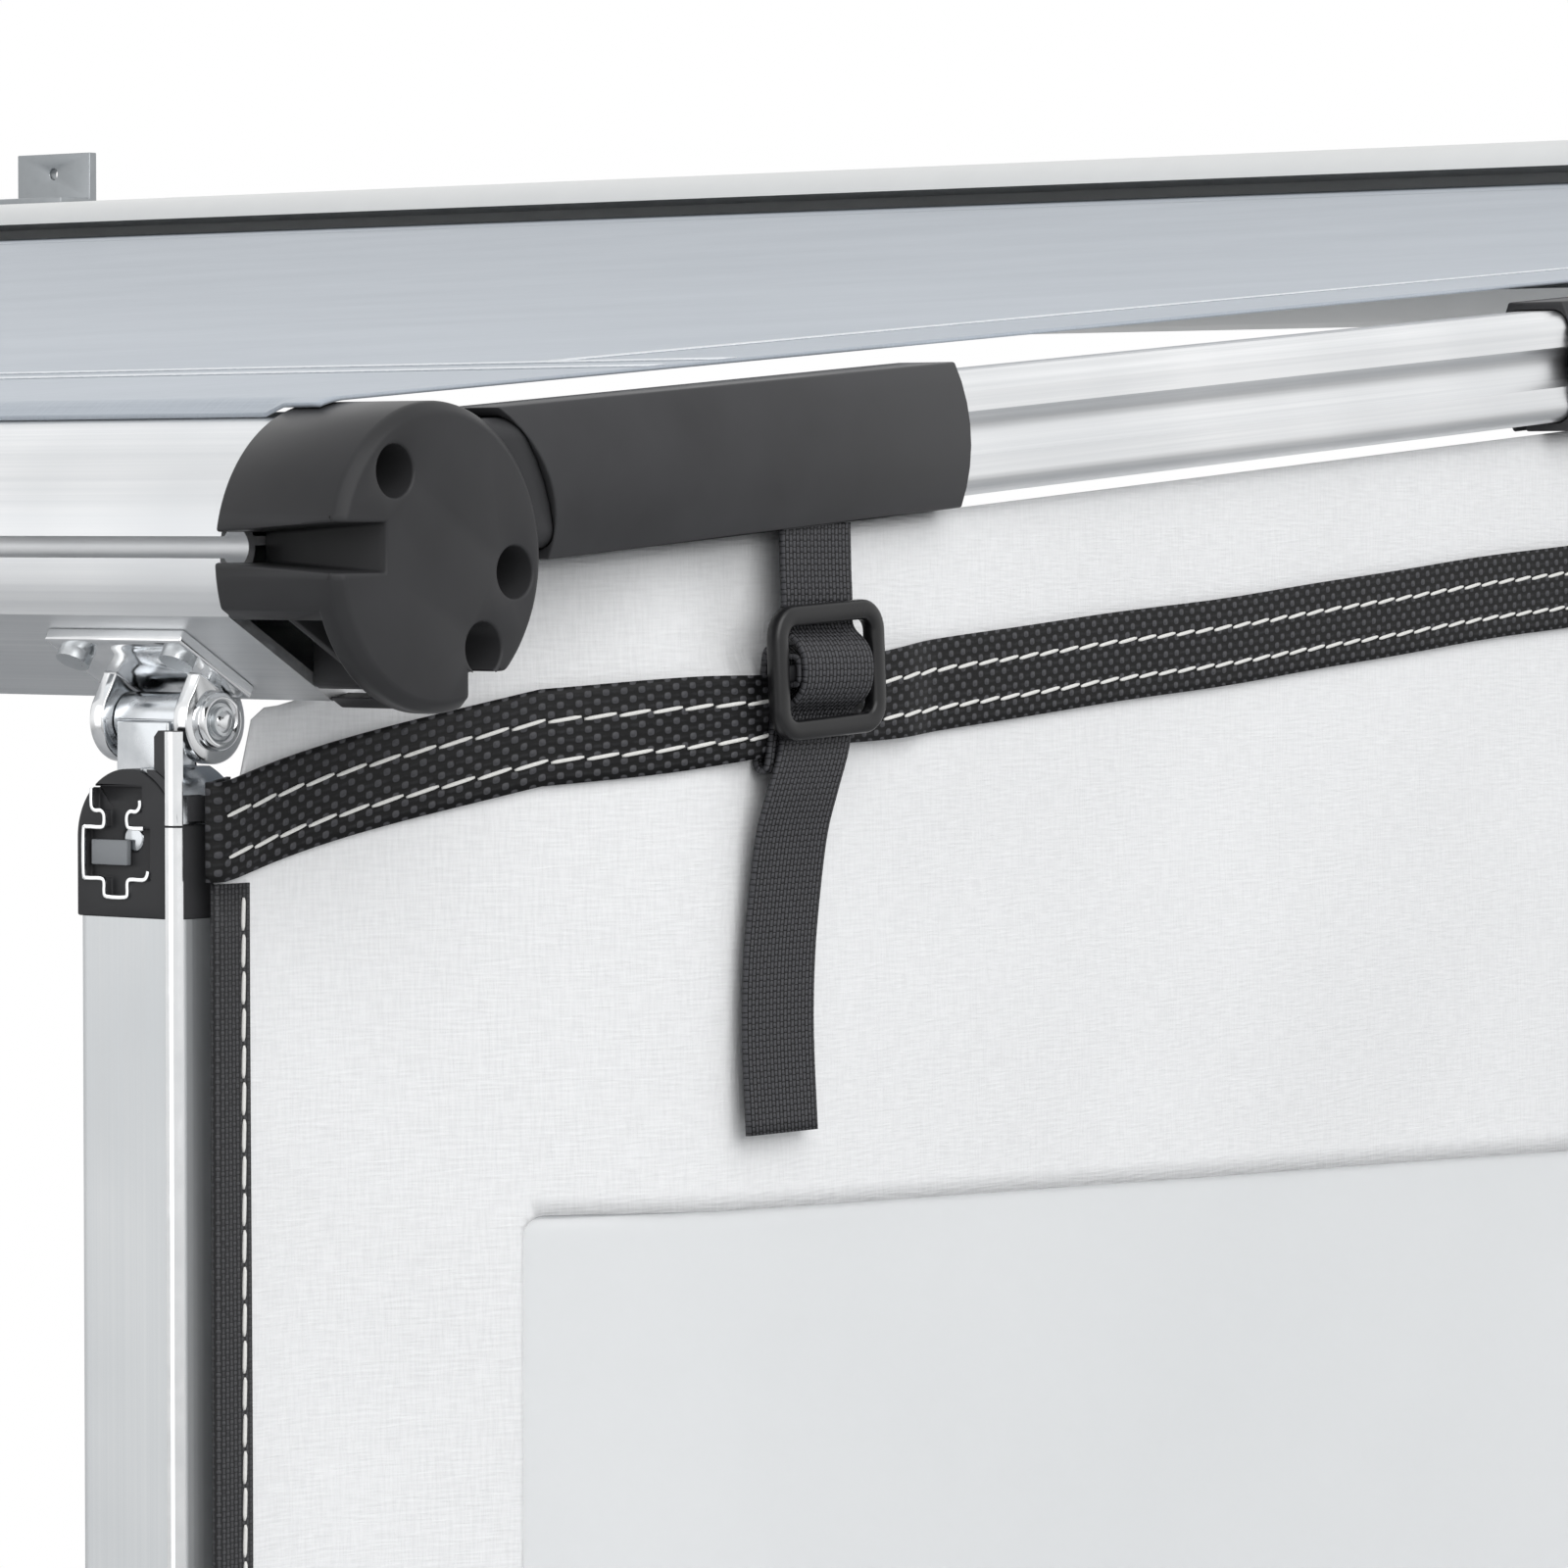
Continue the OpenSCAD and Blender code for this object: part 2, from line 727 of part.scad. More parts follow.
module canopy_keder() {
    color("#2e2e2f") at_rail() along_x(-half_w + cap_len, half_w - cap_len) {
        translate([0, rail_r - canopy_bore_r - 1.4]) circle(r = canopy_bore_r - 0.2);
        translate([-0.6, rail_r - canopy_bore_r - 1.4]) square([1.2, canopy_bore_r + 1.4]);
    }
}

// Lead rail

module rail_outline(r, flat) {
    difference() {
        circle(r = r);
        rotate(-flat_tilt) translate([0, -flat - r]) square([4 * r, 2 * r], center = true);
    }
}

module rail_section() {
    top_z = rail_r - canopy_bore_r - 1.4;
    difference() {
        union() {
            difference() {
                rail_outline(rail_r, rail_flat);
                rail_outline(rail_r - rail_wall, rail_flat - rail_wall);
            }
            intersection() {
                rail_outline(rail_r, rail_flat);
                union() {
                    translate([keder_y, keder_z]) circle(r = keder_r + 2);
                    translate([keder_y, lip_high - web_t]) square([2 * rail_r, web_t]);
                    translate([0, top_z]) circle(r = canopy_bore_r + 2);
                    for (a = port_angles) rotate(a) translate([port_d, 0]) circle(r = port_r);
                }
            }
        }
        translate([keder_y, keder_z]) circle(r = keder_r);
        translate([-rail_r - 1, lip_low]) square([rail_r + keder_y + 1, keder_mouth]);
        translate([0, top_z]) circle(r = canopy_bore_r);
        translate([-canopy_mouth / 2, top_z]) square([canopy_mouth, rail_r]);
        for (a = port_angles) rotate(a) translate([port_d, 0]) circle(r = screw_r);
    }
}

// The rail is an upper and a lower profile on an inner web, which meet at the lips of the channel.
module upper_zone() {
    translate([-2 * rail_r, lip_high]) square([4 * rail_r, 2 * rail_r]);
}

module lower_zone() {
    polygon([
        [-2 * rail_r, lip_low],
        [keder_y + keder_r, lip_low],
        [port_d - port_r - 4, port_low],
        [2 * rail_r, port_low],
        [2 * rail_r, -2 * rail_r],
        [-2 * rail_r, -2 * rail_r]
    ]);
}

module on_flat() {
    rotate([-flat_tilt, 0, 0]) translate([0, 0, -rail_flat]) children();
}

module flat_screw_places() {
    for (sx = [-1, 1]) on_flat() translate([sx * 16, -7, 0]) children();
}

module rail_length() {
    at_rail() along_x(-half_w + cap_len, half_w - cap_len) children();
}

module lead_rail() {
    color("#e3e4e5") rail_length() intersection() {
        rail_section();
        upper_zone();
    }
}

module lead_rail_web() {
    color("#e3e4e5") rail_length() difference() {
        rail_section();
        upper_zone();
        lower_zone();
    }
}

module lead_rail_lower() {
    color("#e3e4e5") difference() {
        rail_length() intersection() {
            rail_section();
            lower_zone();
        }
        for (side = [-1, 1]) sided(side) at_leg() flat_screw_places()
            translate([0, 0, -1]) cylinder(r = screw_r, h = 6);
    }
}

module end_cap_shape() {
    inner = half_w - cap_len;
    difference() {
        union() {
            difference() {
                union() {
                    bar_x(cap_r, inner, half_w - cap_bevel);
                    translate([half_w - cap_bevel, 0, 0]) rotate([0, 90, 0])
                        cylinder(r1 = cap_r, r2 = cap_r - cap_bevel, h = cap_bevel);
                }
                bar_x(cap_r - cap_wall, inner - 1, half_w - cap_face);
            }
            // screw bosses, keder guide and ribs stand inside the cup
            intersection() {
                bar_x(cap_r - 0.5, inner, half_w - cap_face + 1);
                union() {
                    for (a = port_angles) rotate([a, 0, 0]) translate([0, port_d, 0])
                        bar_x(cap_hole_r + 1.8, inner, half_w);
                    translate([inner, -cap_r, keder_z - 7.5]) cube([cap_len, guide_depth + 2, 15]);
                    translate([inner, -3, -cap_r]) cube([cap_len, 2, cap_r - 4]);
                    translate([half_w - 20, -cap_r, -cap_r]) cube([2, 30, cap_r - 4]);
                }
            }
        }
        for (a = port_angles) rotate([a, 0, 0]) translate([0, port_d, 0]) {
            bar_x(screw_r + 0.3, inner - 1, half_w + 1);
            bar_x(cap_hole_r, inner + 6, half_w + 1);
        }
        // the keder guide widens towards the face
        translate([0, -cap_r + guide_depth, 0]) rotate([90, 0, 0]) linear_extrude(height = cap_r) polygon([
            [inner - 1, keder_z - 3.2],
            [half_w - 2.5, keder_z - 5.4],
            [half_w + 1, keder_z - 5.4],
            [half_w + 1, keder_z + 5.4],
            [half_w - 2.5, keder_z + 5.4],
            [inner - 1, keder_z + 3.2]
        ]);
        // the flat of the rail carries on to the face plate
        rotate([-flat_tilt, 0, 0]) translate([inner - 1, -2 * cap_r, -3 * cap_r - rail_flat])
            cube([cap_len - cap_face + 1, 4 * cap_r, 3 * cap_r]);
        translate([inner - 1, 8.6, -2 * cap_r - 25]) cube([cap_len + 2, 2 * cap_r, 2 * cap_r]);
    }
}

module end_cap_left() {
    color("#38383a") sided(-1) at_rail() end_cap_shape();
}

module end_cap_right() {
    color("#38383a") sided(1) at_rail() end_cap_shape();
}

module rail_screws() {
    inner = half_w - cap_len;
    color("#c9cbcd") for (side = [-1, 1]) sided(side) {
        at_rail() for (a = port_angles) rotate([a, 0, 0]) translate([0, port_d, 0]) {
            bar_x(screw_r, inner - 20, inner + 7);
            bar_x(4.2, inner + 6, inner + 9);
        }
        at_leg() flat_screw_places() {
            translate([0, 0, -3.5]) cylinder(r = screw_r, h = 8);
            translate([0, 0, -5.4]) cylinder(r = 3.9, h = 2.4);
        }
    }
}

// Legs

module leg_bracket(side) {
    outer = leg_cheek_gap + leg_cheek_t;
    plate_w = 2 * outer + 4 * plate_t;
    color("#d2d4d6") sided(side) at_leg() difference() {
        union() {
            on_flat() translate([-plate_w / 2, -plate_d / 2, -plate_t]) cube([plate_w, plate_d, plate_t]);
            for (x0 = [-outer, leg_cheek_gap]) on_flat() along_x(x0, x0 + leg_cheek_t) {
                translate([tilt_along, -tilt_out]) circle(r = leg_cheek_r);
                translate([tilt_along - leg_cheek_r, -tilt_out])
                    square([plate_d / 2 - tilt_along + leg_cheek_r, tilt_out - 1]);
            }
        }
        translate([0, tilt_y, tilt_z]) bar_x(leg_pin_r, -2 * outer, 2 * outer);
        flat_screw_places() translate([0, 0, -4]) cylinder(r = screw_r + 0.3, h = 6);
    }
}

module leg_bracket_left() {
    leg_bracket(-1);
}

module leg_bracket_right() {
    leg_bracket(1);
}

module leg_tilt_pins() {
    color("#c9cbcd") for (side = [-1, 1]) sided(side) at_leg() translate([0, tilt_y, tilt_z]) {
        outer = leg_cheek_gap + leg_cheek_t;
        bar_x(leg_pin_r, -outer, outer);
        for (sx = [-1, 1]) mirror([sx < 0 ? 1 : 0, 0, 0]) {
            bar_x(tilt_head_r, outer, outer + tilt_head_t);
            bar_x(tilt_head_r / 2, outer, outer + 2 * tilt_head_t);
        }
    }
}

function fold_z(side) = fold_right - (side < 0 ? left_extra : 0);

module leg_knuckle(side) {
    fz = fold_z(side);
    color("#d2d4d6") sided(side) at_leg() difference() {
        union() {
            translate([0, tilt_y, tilt_z]) bar_x(6.3, -leg_cheek_gap + sheet_gap, leg_cheek_gap - sheet_gap);
            translate([-8, -leg_y - knuckle_t / 2, fz]) cube([16, knuckle_t, tilt_z - fz]);
            translate([0, 0, fz]) bar_y(8, -leg_y - knuckle_t / 2, -leg_y + knuckle_t / 2);
            // the outer shoulder covers the round of the leg head
            translate([0, 0, fz]) along_s(leg_y - leg_d / 2, leg_y + leg_d / 2) difference() {
                intersection() {
                    translate([4, 0]) square([head_top_r - 4, head_top_r + sheet_gap + 0.1]);
                    translate([0, -2]) circle(r = head_top_r + 4);
                }
                circle(r = head_top_r + sheet_gap);
            }
            translate([0, 0, fz]) bar_y(leg_pin_r, -leg_y - leg_d / 2 + recess_d, -leg_y + leg_d / 2 - 1.2);
        }
        translate([0, tilt_y, tilt_z]) bar_x(leg_pin_r + pin_clear, -20, 20);
    }
}

module leg_knuckle_left() {
    leg_knuckle(-1);
}

module leg_knuckle_right() {
    leg_knuckle(1);
}

module leg_head(side) {
    fz = fold_z(side);
    front = leg_y + leg_d / 2;
    color("#2e2e2f") sided(side) at_leg() difference() {
        union() {
            translate([0, 0, fz]) along_s(leg_y - leg_d / 2, front) {
                circle(r = head_top_r);
                translate([-head_top_r, -head_low]) square([leg_w, head_low]);
            }
            translate([0, -leg_y, 0]) upward(fz - head_low - 40, fz - head_low + 0.5)
                rounded(leg_w - 2 * leg_wall - 0.3, leg_d - 2 * leg_wall - 0.3, 1.5);
        }
        translate([-head_top_r - 1, -leg_y - slot_t / 2, fz - 9.5]) cube([head_top_r + 12, slot_t, 40]);
        translate([0, 0, fz]) bar_y(leg_pin_r + pin_clear, -front - 1, -leg_y + leg_d / 2 + 1);
        translate([-3, 0, fz]) along_s(front - recess_d, front + 1) {
            translate([-7.5, 6.1]) square([15, 5.4]);
            translate([-3.6, -13]) square([7.2, 20]);
            translate([-10, -9]) square([20, 11.4]);
        }
    }
}

module leg_head_left() {
    leg_head(-1);
}

module leg_head_right() {
    leg_head(1);
}

module leg_latch(side) {
    front = leg_y + leg_d / 2;
    color("#8d9093") sided(side) at_leg() translate([0, 0, fold_z(side)])
        along_s(front - recess_d + 0.1, front - 0.5) translate([-11.5, -6]) square([11, 5.6]);
}

module leg_latch_left() {
    leg_latch(-1);
}

module leg_latch_right() {
    leg_latch(1);
}

module leg_tube(side) {
    top = fold_z(side) - head_low;
    color("#c5c7c9") sided(side) at_leg() translate([0, -leg_y, 0])
        upward(top - leg_tube_l, top) difference() {
            rounded(leg_w, leg_d, 3);
            rounded(leg_w - 2 * leg_wall, leg_d - 2 * leg_wall, 1.6);
        }
}

module leg_tube_left() {
    leg_tube(-1);
}

module leg_tube_right() {
    leg_tube(1);
}

module leg_clamp(side) {
    low = fold_z(side) - head_low - leg_tube_l;
    color("#38383a") sided(side) at_leg() difference() {
        union() {
            translate([0, -leg_y, 0]) upward(low - 16, low + 24) rounded(clamp_w, clamp_d, 4);
            for (sx = [-1, 1]) translate([sx > 0 ? 5 : -8, 0, low + lever_z]) {
                translate([0, lever_y, 0]) bar_x(4.5, 0, 3);
                translate([0, lever_y, -4.5]) cube([3, 8, 9]);
            }
        }
        translate([0, -leg_y, 0]) {
            upward(low, low + 25) rounded(leg_w + 0.3, leg_d + 0.3, 3.1);
            upward(low - 17, low + 1) rounded(inner_leg_w + 2 * leg_clear, inner_leg_d + 2 * leg_clear, 1.8);
        }
        translate([0, lever_y, low + lever_z]) bar_x(2 + pin_clear, -9, 9);
    }
}

module leg_clamp_left() {
    leg_clamp(-1);
}

module leg_clamp_right() {
    leg_clamp(1);
}

module leg_lever(side) {
    low = fold_z(side) - head_low - leg_tube_l;
    color("#8d9093") sided(side) at_leg() translate([0, lever_y, low + lever_z]) {
        bar_x(5.4, -4.7, 4.7);
        bar_x(2, -8.5, 8.5);
        translate([-4.7, -5.4, -lever_l]) cube([9.4, 5, lever_l]);
    }
}

module leg_lever_left() {
    leg_lever(-1);
}

module leg_lever_right() {
    leg_lever(1);
}

module leg_inner(side) {
    color("#d5d7d8") sided(side) at_leg() difference() {
        translate([0, -leg_y, 0]) upward(inner_low, inner_top) difference() {
            rounded(inner_leg_w, inner_leg_d, 1.6);
            rounded(inner_leg_w - 2 * leg_wall, inner_leg_d - 2 * leg_wall, 0.8);
        }
        translate([0, -leg_y, foot_pin_z]) bar_x(leg_pin_r + pin_clear, -20, 20);
    }
}

module leg_inner_left() {
    leg_inner(-1);
}

module leg_inner_right() {
    leg_inner(1);
}

module leg_foot(side) {
    lug = inner_leg_w / 2 + 0.4;
    color("#2e2e2f") sided(side) at_leg() translate([0, -leg_y, 0]) {
        upward(-rail_height, -rail_height + 8) rounded(foot_w, foot_d, 8);
        translate([0, 0, foot_pin_z]) {
            bar_x(leg_pin_r, -lug - 1, lug + 1);
            for (sx = [-1, 1]) translate([sx > 0 ? lug : -lug - 4, 0, 0]) {
                bar_x(8.5, 0, 4);
                translate([0, -8.5, -15]) cube([4, 17, 15]);
            }
        }
    }
}

module leg_foot_left() {
    leg_foot(-1);
}

module leg_foot_right() {
    leg_foot(1);
}

// Sleeve clips, straps and buckles

module sleeve_section() {
    half = sleeve_h / 2;
    bulge = 12.6 + (rafter_w - 20) / 2;
    r = (half * half + 16) / 8;
    difference() {
        intersection() {
            translate([-(r - bulge), 0]) circle(r = r);
            translate([r - bulge, 0]) circle(r = r);
            square([60, sleeve_h], center = true);
        }
        rounded(rafter_w + 0.5, rafter_h + 0.5, 5.2);
        translate([-7.5, -half - 1]) square([3, half - 6]);
    }
}

module strap_sleeves() {
    color("#38383a") difference() {
        at_rafter() for (i = [0:2]) {
            s1 = sleeve_s(i);
            difference() {
                along_s(s1 - sleeve_l, s1 + (i == 0 ? sleeve_nose : 0)) sleeve_section();
                translate([5.8, -s1 + strap_at - strap_w / 2 - 0.6, -sleeve_h / 2 - 1])
                    cube([2.4, strap_w + 1.2, sleeve_wall + 2]);
            }
        }
        // the first sleeve nests round the end cap
        at_rail() bar_x(cap_r + sleeve_nest, half_w - 4 * rafter_inset, half_w + 4 * rafter_inset);
    }
}

// Height of the webbing line over the rail axis at distance y behind it.
function webbing_z(y) = rafter_z(y - projection) - rail_z - webbing_drop
    - webbing_fall * max(0, min(1, (66 - y) / 78));
function strap_y(i) = tube_end_gap + (front_s - sleeve_s(i) + strap_at) * cos(pitch)
    + sleeve_h / 2 * sin(pitch);

strap_path = [
    [7, 0, webbing_drop - rafter_h / 2 - 1.8], [7, 0, 40], [7.2, 0, 32], [7.5, 0, 26], [7.5, 0, 20.5],
    [8.7, 0, 17.8], [11.6, 0, 15.4], [13.4, 0, 12.6], [13.9, 0, 9], [13.4, 0, 5.4], [11.6, 0, 2.6],
    [8.7, 0, 0.2], [7.5, 0, -2.5], [7.5, 0, -7], [7.9, -0.8, -12], [7.4, -3, -20], [5.8, -6, -29],
    [4.6, -8.3, -44], [4.2, -9, -60], [4.6, -8.6, -78], [5.4, -8, -96]
];
loop_path = [
    [12.1, 0, 9], [12.1, 0, 10.8], [11.7, 0, 11.9], [10.4, 0, 12.2], [8, 0, 12.3], [5.8, 0, 13.9],
    [3.6, 0, 14.2], [2.1, 0, 12.9], [1.75, 0, 9], [1.75, 0, 0], [1.75, 0, -9], [2.1, 0, -12.9],
    [3.9, 0, -14.3], [5.4, 0, -13.2], [5.65, 0, -9], [5.65, 0, -1], [6.1, 0, 3.4], [7.3, 0, 5.4],
    [9.4, 0, 5.8], [11.2, 0, 5.8], [11.9, 0, 6.4], [12.1, 0, 7.4]
];

module band(path, closed, w, t) {
    n = len(path);
    tangent = [
        for (i = [0:n - 1]) closed
            ? path[(i + 1) % n] - path[(i + n - 1) % n]
            : path[min(n - 1, i + 1)] - path[max(0, i - 1)]
    ];
    td = [for (v = tangent) unit([v[2], 0, -v[0]])];
    wd = [for (v = tangent) [0, 1, 0]];
    polyhedron(
        points = band_points(path, wd, td, w, t),
        faces = closed ? ring_faces(n, 4, true) : concat(ring_faces(n, 4, false), end_faces(n, 4))
    );
}

module at_strap(i) {
    at_panel() translate([-rafter_inset, strap_y(i), webbing_z(strap_y(i))]) children();
}

module straps() {
    color("#2b2b2b") for (i = [0:2]) at_strap(i) {
        band(strap_path, false, strap_w, strap_t);
        band(loop_path, true, strap_w, strap_t);
    }
}

module buckles() {
    color("#38383a") for (i = [0:2]) at_strap(i) translate([buckle_a, 0, 9]) {
        difference() {
            translate([0, -buckle_w / 2, -buckle_h / 2]) cube([buckle_t, buckle_w, buckle_h]);
            translate([-1, -buckle_w / 2 + 3.8, -buckle_h / 2 + bar_t])
                cube([buckle_t + 2, buckle_w - 7.6, buckle_h - 2 * bar_t]);
        }
        translate([0, -buckle_w / 2 + 1, -2]) cube([2.6, buckle_w - 2, 4]);
    }
}

// Side panel

function panel_x(y) = let (q = max(0, min(1, (y - curve_y0) / (curve_y1 - curve_y0))))
    -panel_leg_x + (panel_leg_x - rafter_inset) * q * q * (3 - 2 * q);
function panel_dir(y) = unit([panel_x(y + 0.5) - panel_x(y - 0.5), 1]);
function panel_side(y) = let (d = panel_dir(y)) [d[1], -d[0]];
function panel_ys(y0, y1) = concat(
    [y0],
    [for (k = [0:12]) let (y = curve_y0 + (curve_y1 - curve_y0) * k / 12) if (y > y0 + 1 && y < y1 - 1) y],
    [y1]
);

module panel_plan(y0, y1, off, t) {
    ys = panel_ys(y0, y1);
    polygon(concat(
        [for (y = ys) [panel_x(y), y] + panel_side(y) * (off + t / 2)],
        [for (i = [len(ys) - 1:-1:0]) [panel_x(ys[i]), ys[i]] + panel_side(ys[i]) * (off - t / 2)]
    ));
}

module window_area(margin) {
    y0 = window_front - margin;
    y1 = panel_end_y - window_rear + margin;
    top = -window_drop + margin;
    low = -window_drop - window_h - margin;
    along_x(-wide, wide) polygon([[y0, low], [y1, low], [y1, top - (y1 - y0) * tan(window_lean)], [y0, top]]);
}

module side_panel() {
    head = canopy_z(0) - rail_z;
    step = panel_step_y - panel_front_y + 1;
    corner = panel_corner_y - panel_front_y + 1;
    color("#efefef") difference() {
        at_panel() upward(panel_ground - rail_height, head)
            panel_plan(panel_front_y, panel_end_y, 0, panel_t);
        at_panel() window_area(0);
        at_panel() translate([-wide, panel_front_y - 1, -panel_step]) cube([2 * wide, step, 2 * head]);
        at_panel() translate([-wide, panel_front_y - 1, webbing_z(panel_front_y) + webbing_w / 2 - webbing_t])
            cube([2 * wide, corner, 2 * head]);
        at_rafter() translate([-wide, -2 * projection, -panel_top_s])
            cube([2 * wide, 4 * projection, 2 * head]);
    }
}

module panel_window() {
    off = -(panel_t / 2 + 0.05 + 0.3);
    color("#d8d8d8") at_panel() upward(-window_drop - window_h - 10, -window_drop + 10)
        panel_plan(window_front - 10, panel_end_y - window_rear + 10, off, 0.6);
}

// The webbing lies on the panel and stands off where a strap loop passes behind it.
function standoff(y) = webbing_in + (webbing_out - webbing_in)
    * max([for (i = [0:2]) max(0, min(1, (strap_w / 2 + 20 - abs(y - strap_y(i))) / 16))]);
webbing_ys = concat(
    [panel_front_y + 1],
    [for (k = [0:9]) curve_y0 + (strap_y(0) - 2 * webbing_w - curve_y0) * k / 9],
    [for (i = [0:2], d = [-33, -25, -16, 0, 16, 25, 33]) strap_y(i) + d],
    [panel_end_y - 1]
);

module panel_webbing() {
    path = [
        for (y = webbing_ys) let (q = [panel_x(y), y] + panel_side(y) * standoff(y))
            [q[0], q[1], webbing_z(y)]
    ];
    wd = [for (y = webbing_ys) [0, 0, 1]];
    td = [for (y = webbing_ys) let (s = panel_side(y)) [s[0], s[1], 0]];
    n = len(path);
    color("#2b2b2b") at_panel() polyhedron(
        points = band_points(path, wd, td, webbing_w, webbing_t),
        faces = concat(ring_faces(n, 4, false), end_faces(n, 4))
    );
}

module panel_binding() {
    top = webbing_z(panel_front_y) - webbing_w / 2 - 0.5;
    color("#2b2b2b") at_panel() difference() {
        translate([-panel_leg_x - panel_t / 2 - 0.8, panel_front_y - 1, panel_ground - rail_height - 1])
            cube([panel_t + 1.6, binding_w, top + rail_height - panel_ground + 1]);
        translate([-panel_leg_x - panel_t / 2 - 0.02, panel_front_y, panel_ground - rail_height])
            cube([panel_t + 0.04, binding_w + 1, rail_height]);
    }
}

case_shell();
case_end_cap_left();
case_end_cap_right();
case_screws();
wall_bracket_left();
wall_bracket_right();
roller_bush();
spring_shaft();
torsion_spring();
rafter_bracket_left();
rafter_bracket_right();
rafter_pins();
roller_tube();
roller_plug_left();
roller_plug_right();
canopy_roll();
rafter_rear_tube_left();
rafter_rear_tube_right();
rafter_rear_eyes();
canopy();
side_panel();
panel_window();
panel_webbing();
panel_binding();
lead_rail();
lead_rail_web();
lead_rail_lower();
end_cap_left();
end_cap_right();
rail_screws();
canopy_keder();
rafter_front_tube_left();
rafter_front_tube_right();
rafter_front_plugs();
rafter_collars();
leg_bracket_left();
leg_bracket_right();
leg_tilt_pins();
strap_sleeves();
straps();
buckles();
rafter_knob_left();
rafter_knob_right();
leg_knuckle_left();
leg_knuckle_right();
leg_head_left();
leg_head_right();
leg_tube_left();
leg_tube_right();
leg_clamp_left();
leg_clamp_right();
leg_latch_left();
leg_latch_right();
leg_lever_left();
leg_lever_right();
leg_inner_left();
leg_inner_right();
leg_foot_left();
leg_foot_right();
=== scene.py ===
# %% [markdown]
# # A roll out awning, dressed
#
# The awning hangs on a caravan wall: a case with a roller, two sloping rafters, a round lead
# rail with black end caps, two folding legs and a white side panel that is strapped to the
# right rafter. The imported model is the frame. This script gives every solid its finish,
# rounds the moulded edges and makes the soft goods as real sheets, tapes and stitches.

# %% Load the frame
import json
from math import atan2, copysign, cos, exp, hypot, pi, radians, sin, sqrt, tan

import bmesh
import bpy
from mathutils import Matrix, Vector

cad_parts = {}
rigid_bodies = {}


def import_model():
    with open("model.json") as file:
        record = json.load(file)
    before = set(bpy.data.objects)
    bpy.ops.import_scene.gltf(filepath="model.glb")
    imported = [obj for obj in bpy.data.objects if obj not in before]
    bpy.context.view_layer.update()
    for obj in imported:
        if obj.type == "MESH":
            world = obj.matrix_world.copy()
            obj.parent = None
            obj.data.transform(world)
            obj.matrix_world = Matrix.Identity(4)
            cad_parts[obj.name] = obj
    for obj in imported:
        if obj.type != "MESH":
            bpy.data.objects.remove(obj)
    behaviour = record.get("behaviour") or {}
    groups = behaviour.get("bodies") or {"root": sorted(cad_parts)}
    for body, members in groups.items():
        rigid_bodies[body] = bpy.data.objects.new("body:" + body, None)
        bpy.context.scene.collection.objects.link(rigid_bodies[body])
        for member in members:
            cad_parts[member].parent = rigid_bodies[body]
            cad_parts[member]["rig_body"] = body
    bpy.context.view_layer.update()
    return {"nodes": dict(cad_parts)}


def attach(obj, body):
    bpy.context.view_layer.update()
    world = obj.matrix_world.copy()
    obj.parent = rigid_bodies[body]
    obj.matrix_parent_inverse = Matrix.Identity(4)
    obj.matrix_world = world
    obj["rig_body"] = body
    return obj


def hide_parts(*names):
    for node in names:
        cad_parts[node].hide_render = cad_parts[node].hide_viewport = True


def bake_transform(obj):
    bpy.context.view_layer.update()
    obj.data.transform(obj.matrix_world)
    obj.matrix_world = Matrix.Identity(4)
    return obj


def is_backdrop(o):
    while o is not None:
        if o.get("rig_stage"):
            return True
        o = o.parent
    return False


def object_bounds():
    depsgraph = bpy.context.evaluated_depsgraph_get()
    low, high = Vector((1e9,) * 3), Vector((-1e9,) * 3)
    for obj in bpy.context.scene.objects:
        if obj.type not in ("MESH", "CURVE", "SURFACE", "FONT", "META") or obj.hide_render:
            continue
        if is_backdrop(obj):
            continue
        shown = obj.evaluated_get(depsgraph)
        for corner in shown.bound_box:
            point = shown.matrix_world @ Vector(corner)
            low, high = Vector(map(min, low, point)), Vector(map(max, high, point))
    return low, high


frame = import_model()
MM = 0.001

# %% [markdown]
# ## The sizes that the soft goods follow
#
# A sheet has to meet the rail, the roller and the rafters exactly. So the few sizes that fix
# those lines are repeated here in millimetres, and everything else is worked out from them
# in the way that the construction does it.

# %% Sizes of the carrying parts
HALF_W = 1225.0
PROJECTION = 1800.0
RAIL_HEIGHT = 1960.0
PITCH = radians(4.5)
ROLLER_Y = 48.0
ROLL_R = 21.6
ROLLER_R = 20.0
CANOPY_T = 1.2
CANOPY_HALF = HALF_W - 26.0
GAP = 0.3
RAIL_R = 32.0
CAP_R = RAIL_R + 2.0
HEM_R = CAP_R + GAP + CANOPY_T / 2
SLEEVE_H = 34.8
SLEEVE_DROP = 3.4
RISE = tan(PITCH)
CANOPY_Z0 = (ROLL_R + GAP + CANOPY_T / 2) / cos(PITCH) + ROLLER_Y * RISE


def canopy_z(y):
    """Height of the canopy's middle line at y, which is negative in front of the wall."""
    return CANOPY_Z0 + y * RISE


def rafter_z(y):
    """Height of the rafter axis at y."""
    return canopy_z(y) - (SLEEVE_H / 2 + SLEEVE_DROP + CANOPY_T / 2) / cos(PITCH)


RAIL_Z = canopy_z(-PROJECTION) - HEM_R / cos(PITCH)
GROUND_Z = RAIL_Z - RAIL_HEIGHT
RAIL = Vector((0.0, -PROJECTION, RAIL_Z))
CORNER = Vector((HALF_W, -PROJECTION, RAIL_Z))
DOWN_SLOPE = Vector((0.0, -cos(PITCH), -sin(PITCH)))
print("rail axis", round(RAIL_Z, 2), "ground", round(GROUND_Z, 2))

